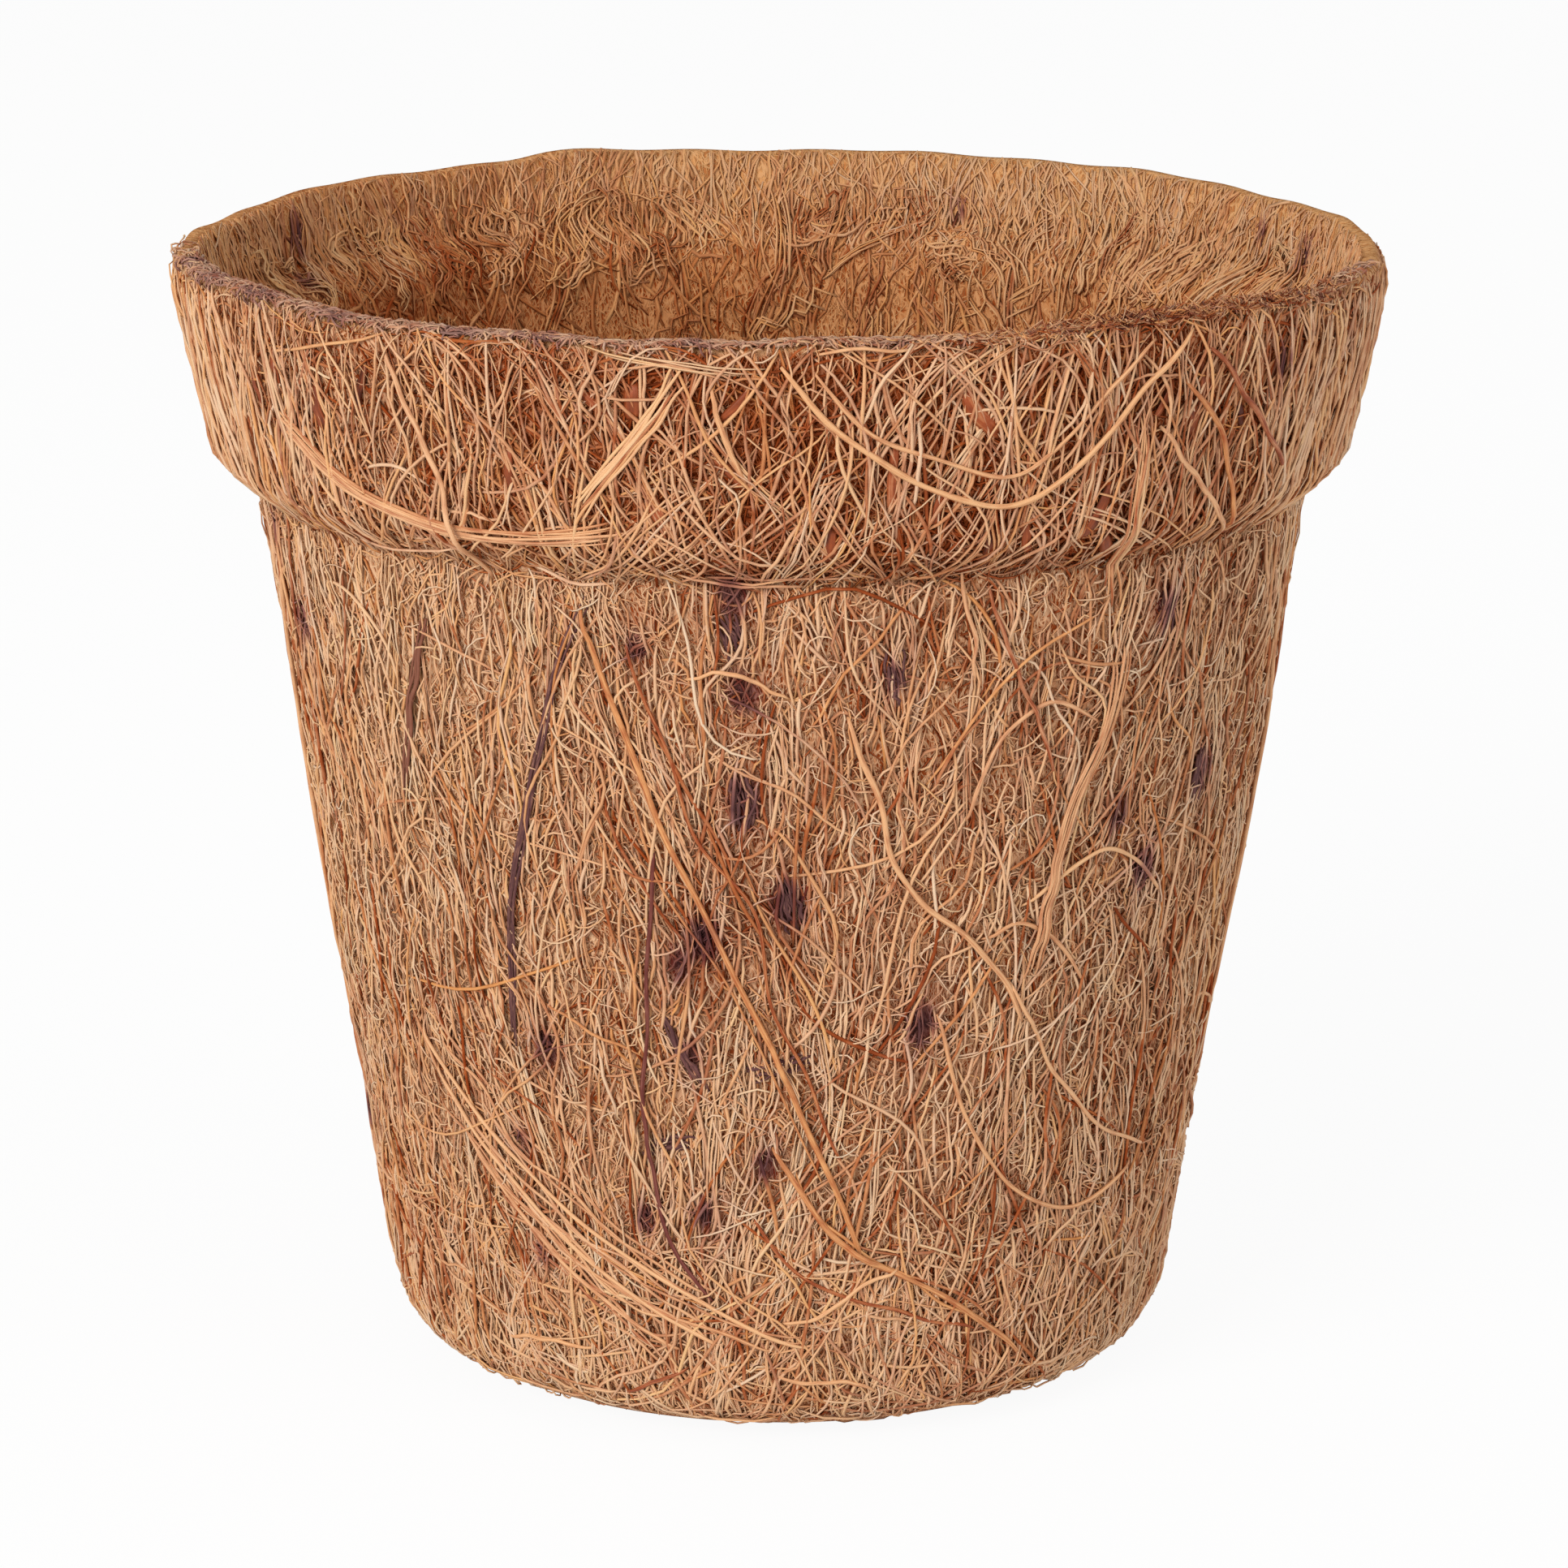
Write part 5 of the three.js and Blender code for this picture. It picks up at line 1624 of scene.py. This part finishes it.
class COIR_OT_inside_fibres(bpy.types.Operator):
    """Lines the inside with wavy upright bundles over a dark mat, pale above the ledge and tufted on it"""

    bl_idname = "coir.inside_fibres"
    bl_label = "Inside Fibres"

    RIM_CLEARANCE = 0.2 * MM
    FLOOR_LAP = 2 * MM
    SOAK = 0.5
    LEDGE_TUFT_REACH = 2.5 * MM
    LAYERS = (
        dict(share=0.62, width=(0.34, 0.54), length=(5, 12), lift=(-0.4, -0.28),
             tone=(inside_shaded_tone(0.53), 0.04), warmth=(0.9, 0.12), lean=upright(0.5), turn=1.2, sway=0.4,
             rings=6, flatness=0.5),
        dict(share=0.32, width=(0.2, 0.3), length=(4, 11), lift=(-0.34, -0.12),
             tone=(inside_shaded_tone(0.54), 0.05), warmth=(0.87, 0.12), lean=upright(0.45), turn=1.3, hook=0.6,
             sway=0.5, flatness=0.6),
        dict(share=0.08, width=(0.22, 0.34), length=(6, 14), lift=(-0.3, 0.0),
             tone=(inside_shaded_tone(0.56), 0.05), warmth=(0.78, 0.12), lean=upright(0.3), turn=0.8, sway=0.7,
             rings=8, members=5, flatness=0.6),
        dict(share=0.012, width=(0.14, 0.2), length=(3, 7), lift=(0.3, 0.6), tone=(0.66, 0.08),
             warmth=(0.65, 0.15), lean=every_way, turn=1.2, rings=8),
    )
    # Fibres above the ledge are paler than those below it, whose darker tones are painted shade deeper in
    # the pot.
    BAND_LAYERS = (
        dict(share=0.3, width=(0.34, 0.5), length=(3, 7), lift=(-0.38, -0.28),
             tone=(inside_shaded_tone(0.66), 0.05), warmth=(0.72, 0.12), lean=upright(0.3), turn=0.6, sway=0.2,
             rings=5, flatness=0.5),
        dict(share=0.34, width=(0.18, 0.28), length=(3, 8), lift=(-0.34, -0.16),
             tone=(inside_shaded_tone(0.69), 0.06), warmth=(0.6, 0.15), lean=upright(0.38), turn=0.9, sway=0.35,
             rings=6, flatness=0.6),
    )
    # The ledge's tufts are paler than the fibres below: partly painted light on the ledge's upward face.
    TUFTS = dict(share=0.04, width=(0.2, 0.3), length=(4, 10), lift=(-0.15, 0.25), tone=(0.63, 0.06),
                 warmth=(0.7, 0.12), lean=upright(0.5), turn=1.2, hook=0.9, sway=0.75, rings=9, members=6,
                 margin=1)

    def execute(self, context):
        shape, fibres = settings()[:2]
        face, heaps = Face.inside(), fibre_heaps(HALVES)
        zone = dict(
            heaps=heaps.values(), rng=np.random.default_rng(fibres.seed + 5), face=face,
            count=fibres.inside_count, stains=INNER_STAINS, soak=self.SOAK)
        bottom = face.depth_at(shape.base_thickness) + self.FLOOR_LAP
        ledge = shape.height - shape.ledge_depth
        tufts_top = face.depth_at(ledge) - self.LEDGE_TUFT_REACH
        ledge_foot = face.depth_at(ledge - shape.ledge_drop)
        for layer in self.LAYERS:
            scatter(top=tufts_top, bottom=bottom, margin=2, crowd=1.35, **zone, **layer)
        for layer in self.BAND_LAYERS:
            scatter(top=self.RIM_CLEARANCE, bottom=ledge_foot, margin=0.4, crowd=1.4, **zone, **layer)
        scatter(top=tufts_top, bottom=ledge_foot + self.LEDGE_TUFT_REACH, **zone, **self.TUFTS)
        build_fibres("inside_fibres", heaps, "coir_felt_inside")
        return {"FINISHED"}


class COIR_OT_base_fibres(bpy.types.Operator):
    """Covers the pot's floor and its underside with fibres that lie every way"""

    bl_idname = "coir.base_fibres"
    bl_label = "Base Fibres"

    FLOOR_FLANGE = 6 * MM
    FLOOR_WARMTH = 0.6
    UNDER_FLANGE = 2.5 * MM
    UNDER_HEIGHT = 0.6 * MM
    UNDER_WARMTH = 0.45
    WARMTH_SPREAD = 0.2
    BOTH = dict(width=(0.22, 0.36), length=(6, 14), lean=every_way, turn=1.0, rings=6)
    LAYERS = (
        dict(lift=(-0.4, -0.1), tone=(0.44, 0.12)),
        dict(lift=(-0.15, 0.25), tone=(0.6, 0.12)),
    )

    def cover(self, name, disc, rng, warmth):
        heap, count = Heap(), settings()[1].disc_count
        tint = (warmth, self.WARMTH_SPREAD)
        for layer in self.LAYERS:
            scatter([heap], rng, disc, 0, 0, count=count, warmth=tint, **self.BOTH, **layer)
        heap.build(name, "fine_fibre", "coir_felt_inside")

    def execute(self, context):
        shape, fibres = settings()[:2]
        rng = np.random.default_rng(fibres.seed + 6)
        floor = Disc(shape.seat_radius + self.FLOOR_FLANGE, shape.base_thickness, 1)
        under = Disc(shape.seat_radius + self.UNDER_FLANGE, self.UNDER_HEIGHT, -1)
        self.cover("floor_fibres", floor, rng, self.FLOOR_WARMTH)
        self.cover("underside_fibres", under, rng, self.UNDER_WARMTH)
        return {"FINISHED"}


class COIR_OT_rim_ends(bpy.types.Operator):
    """Frays the trimmed rim: cut ends along it, ends that lap over it, and chips and strays at the right"""

    bl_idname = "coir.rim_ends"
    bl_label = "Rim Ends"

    # How far the rim's band reaches down both sides, and how far from its edges each kind of end keeps.
    REACH = 2 * MM
    CUT_EDGE = 1.75 * MM
    LAPS_EDGE = 0.7 * MM
    CHIP_EDGE = 1.35 * MM
    STRAY_FOOT = 0.6

    # Where the ends lie round the pot, how many there are, and the share of a stain that they take.
    FRONT = np.radians((-78, 64))
    FRONT_FADE = math.radians(6)
    RAGGED = np.radians((8, RAGGED_MIDDLE, 66))
    CUT_SHARE = 0.45
    LAPS_SHARE = 0.18
    CHIPS = 1400
    STRAYS = 90
    SOAK = 0.5

    CUT_ENDS = dict(width=(0.13, 0.24), length=(0.8, 3), lift=(-0.3, 0.0), tone=(rim_tone, 0.16),
                    warmth=(rim_warmth, 0.15), lean=round_the_rim, turn=1.2, rings=5)
    LAP_ENDS = dict(width=(0.14, 0.24), length=(1, 2.6), lift=(-0.25, 0.0), tone=(rim_tone, 0.13),
                    warmth=(rim_warmth, 0.15), lean=over_the_rim, turn=0.8, rings=5)
    CHIP_ENDS = dict(width=(0.14, 0.3), length=(0.8, 2.4), lift=(-0.15, 0.4), tone=(0.35, 0.22),
                     warmth=(0.75, 0.15), lean=round_the_rim, turn=0.4, sway=0.05, rings=4, free=True)
    STRAY_ENDS = dict(width=(0.15, 0.26), length=(1.2, 3.6), lift=(0.3, 1.1), tone=(0.55, 0.15),
                      warmth=(0.7, 0.15), lean=round_the_rim, turn=1.2, free=True)

    def along_front(self, rng, share):
        """Angles along the front of the rim, which thin out at both ends."""
        count = int(settings()[1].rim_count * share)
        return rng.uniform(*self.FRONT, count) + rng.normal(0, self.FRONT_FADE, count)

    def execute(self, context):
        rng = np.random.default_rng(settings()[1].seed + 7)
        line = rim_line(0, self.REACH)
        band = lengths_along(line)[-1]
        heap = Heap()
        zone = dict(
            heaps=[heap], rng=rng, face=Face(line, -1), margin=0.5, stains=RIM_STAINS, soak=self.SOAK)
        cuts, laps = self.along_front(rng, self.CUT_SHARE), self.along_front(rng, self.LAPS_SHARE)
        chips, strays = rng.triangular(*self.RAGGED, self.CHIPS), rng.triangular(*self.RAGGED, self.STRAYS)
        scatter(top=self.CUT_EDGE, bottom=band - self.CUT_EDGE, angles=cuts, **zone, **self.CUT_ENDS)
        scatter(top=self.LAPS_EDGE, bottom=band - self.LAPS_EDGE, angles=laps, **zone, **self.LAP_ENDS)
        scatter(top=self.CHIP_EDGE, bottom=band - self.CHIP_EDGE, angles=chips, **zone, **self.CHIP_ENDS)
        scatter(top=self.CUT_EDGE, bottom=band * self.STRAY_FOOT, angles=strays, **zone, **self.STRAY_ENDS)
        heap.build("rim_ends", "cut_ends", "coir_felt")
        return {"FINISHED"}


# Stage

class COIR_OT_stage(bpy.types.Operator):
    """Sets the floor, the soft lights and the camera"""

    bl_idname = "coir.stage"
    bl_label = "Stage"

    FLOOR_SIZE = 8
    FLOOR_GLOW = 0.93
    SKY_GLOW = 0.966
    KEY_PLACE = (-0.75, -1.0, 0.58)
    KEY_SIZE = 0.7
    FILL_PLACE = (1.0, -0.7, 0.4)
    FILL_SIZE = 0.9
    LIGHT_AIM = (0, 0, 50 * MM)
    SENSOR = 36
    CLIP_START = 10 * MM

    def seen(self, web):
        """1 for rays that show the background, straight or mirrored, and 0 for rays that light the pot."""
        path = web.add("LightPath")
        seen = web.math("ADD", path["Is Camera Ray"], path["Is Glossy Ray"])
        return web.math("ADD", seen, path["Is Transmission Ray"])

    def floor(self, stage):
        deselect_all()
        bpy.ops.mesh.primitive_plane_add(size=self.FLOOR_SIZE, location=(0, 0, 0))
        floor = bpy.context.object
        floor.name = "floor"
        material, web, shader = new_material("pale_floor", 0.9, 0.1)
        web.feed(shader.inputs["Base Color"], stage.floor)
        glow = web.add("Emission", {"Strength": 1.0})["Emission"]
        seen = web.math("MULTIPLY", self.seen(web), self.FLOOR_GLOW)
        mix = web.add("MixShader", {"Fac": seen, 1: shader.outputs["BSDF"], 2: glow})["Shader"]
        web.feed(web.nodes["Material Output"].inputs["Surface"], mix)
        floor.data.materials.append(material)

    def world(self, stage):
        world = bpy.data.worlds.new("studio")
        bpy.context.scene.world = world
        world.use_nodes = True
        web = Web(world.node_tree)
        background = web.nodes["Background"].inputs
        background["Color"].default_value = (1, 1, 1, 1)
        web.feed(background["Strength"], web.ranged(self.seen(web), 0.0, 1.0, stage.sky, self.SKY_GLOW))

    def lamp(self, name, power, size, place):
        light = bpy.data.lights.new(name, "AREA")
        light.energy = power
        light.size = size
        lamp = bpy.data.objects.new(name, light)
        bpy.context.scene.collection.objects.link(lamp)
        lamp.location = place
        aim = Vector(self.LIGHT_AIM) - Vector(place)
        lamp.rotation_euler = aim.to_track_quat("-Z", "Y").to_euler()

    def camera(self, stage):
        camera = bpy.data.objects.new("camera", bpy.data.cameras.new("camera"))
        bpy.context.scene.collection.objects.link(camera)
        back = Vector((0, -math.cos(stage.elevation), math.sin(stage.elevation)))
        camera.location = Vector((stage.aim_side, 0, stage.aim_height)) + back * stage.distance
        camera.rotation_euler = (-back).to_track_quat("-Z", "Y").to_euler()
        camera.data.sensor_width = self.SENSOR
        camera.data.lens = stage.lens
        camera.data.clip_start = self.CLIP_START
        bpy.context.scene.camera = camera

    def execute(self, context):
        stage = settings()[3]
        self.floor(stage)
        self.world(stage)
        self.lamp("key", stage.key_power, self.KEY_SIZE, self.KEY_PLACE)
        self.lamp("fill", stage.fill_power, self.FILL_SIZE, self.FILL_PLACE)
        self.camera(stage)
        context.scene.view_settings.view_transform = "Standard"
        return {"FINISHED"}


class COIR_PT_panel(bpy.types.Panel):
    """Sizes, colours and steps of the coir pot"""

    bl_idname = "COIR_PT_panel"
    bl_label = "Coir Pot"
    bl_space_type = "VIEW_3D"
    bl_region_type = "UI"
    bl_category = "Coir Pot"

    def draw(self, context):
        for operator in OPERATORS:
            self.layout.operator(operator.bl_idname)
        for group in settings():
            box = self.layout.box()
            for name in group.bl_rna.properties.keys():
                if name not in ("rna_type", "name"):
                    box.prop(group, name)


OPERATORS = (
    COIR_OT_stage, COIR_OT_felt, COIR_OT_husk, COIR_OT_strands, COIR_OT_wall_fibres, COIR_OT_collar_fibres,
    COIR_OT_inside_fibres, COIR_OT_base_fibres, COIR_OT_rim_ends,
)
GROUPS = {
    "coir_shape": CoirShape, "coir_fibres": CoirFibres, "coir_colours": CoirColours, "coir_stage": CoirStage,
}


def register():
    for cls in (*GROUPS.values(), *OPERATORS, COIR_PT_panel):
        bpy.utils.register_class(cls)
    for name, cls in GROUPS.items():
        setattr(bpy.types.Scene, name, PointerProperty(type=cls))


def unregister():
    for name in GROUPS:
        delattr(bpy.types.Scene, name)
    for cls in (COIR_PT_panel, *reversed(OPERATORS), *reversed(GROUPS.values())):
        bpy.utils.unregister_class(cls)


def main():
    register()
    bpy.ops.coir.stage()
    bpy.ops.coir.felt()
    bpy.ops.coir.husk()
    bpy.ops.coir.strands()
    bpy.ops.coir.wall_fibres()
    bpy.ops.coir.collar_fibres()
    bpy.ops.coir.inside_fibres()
    bpy.ops.coir.base_fibres()
    bpy.ops.coir.rim_ends()


if __name__ == "__main__":
    main()
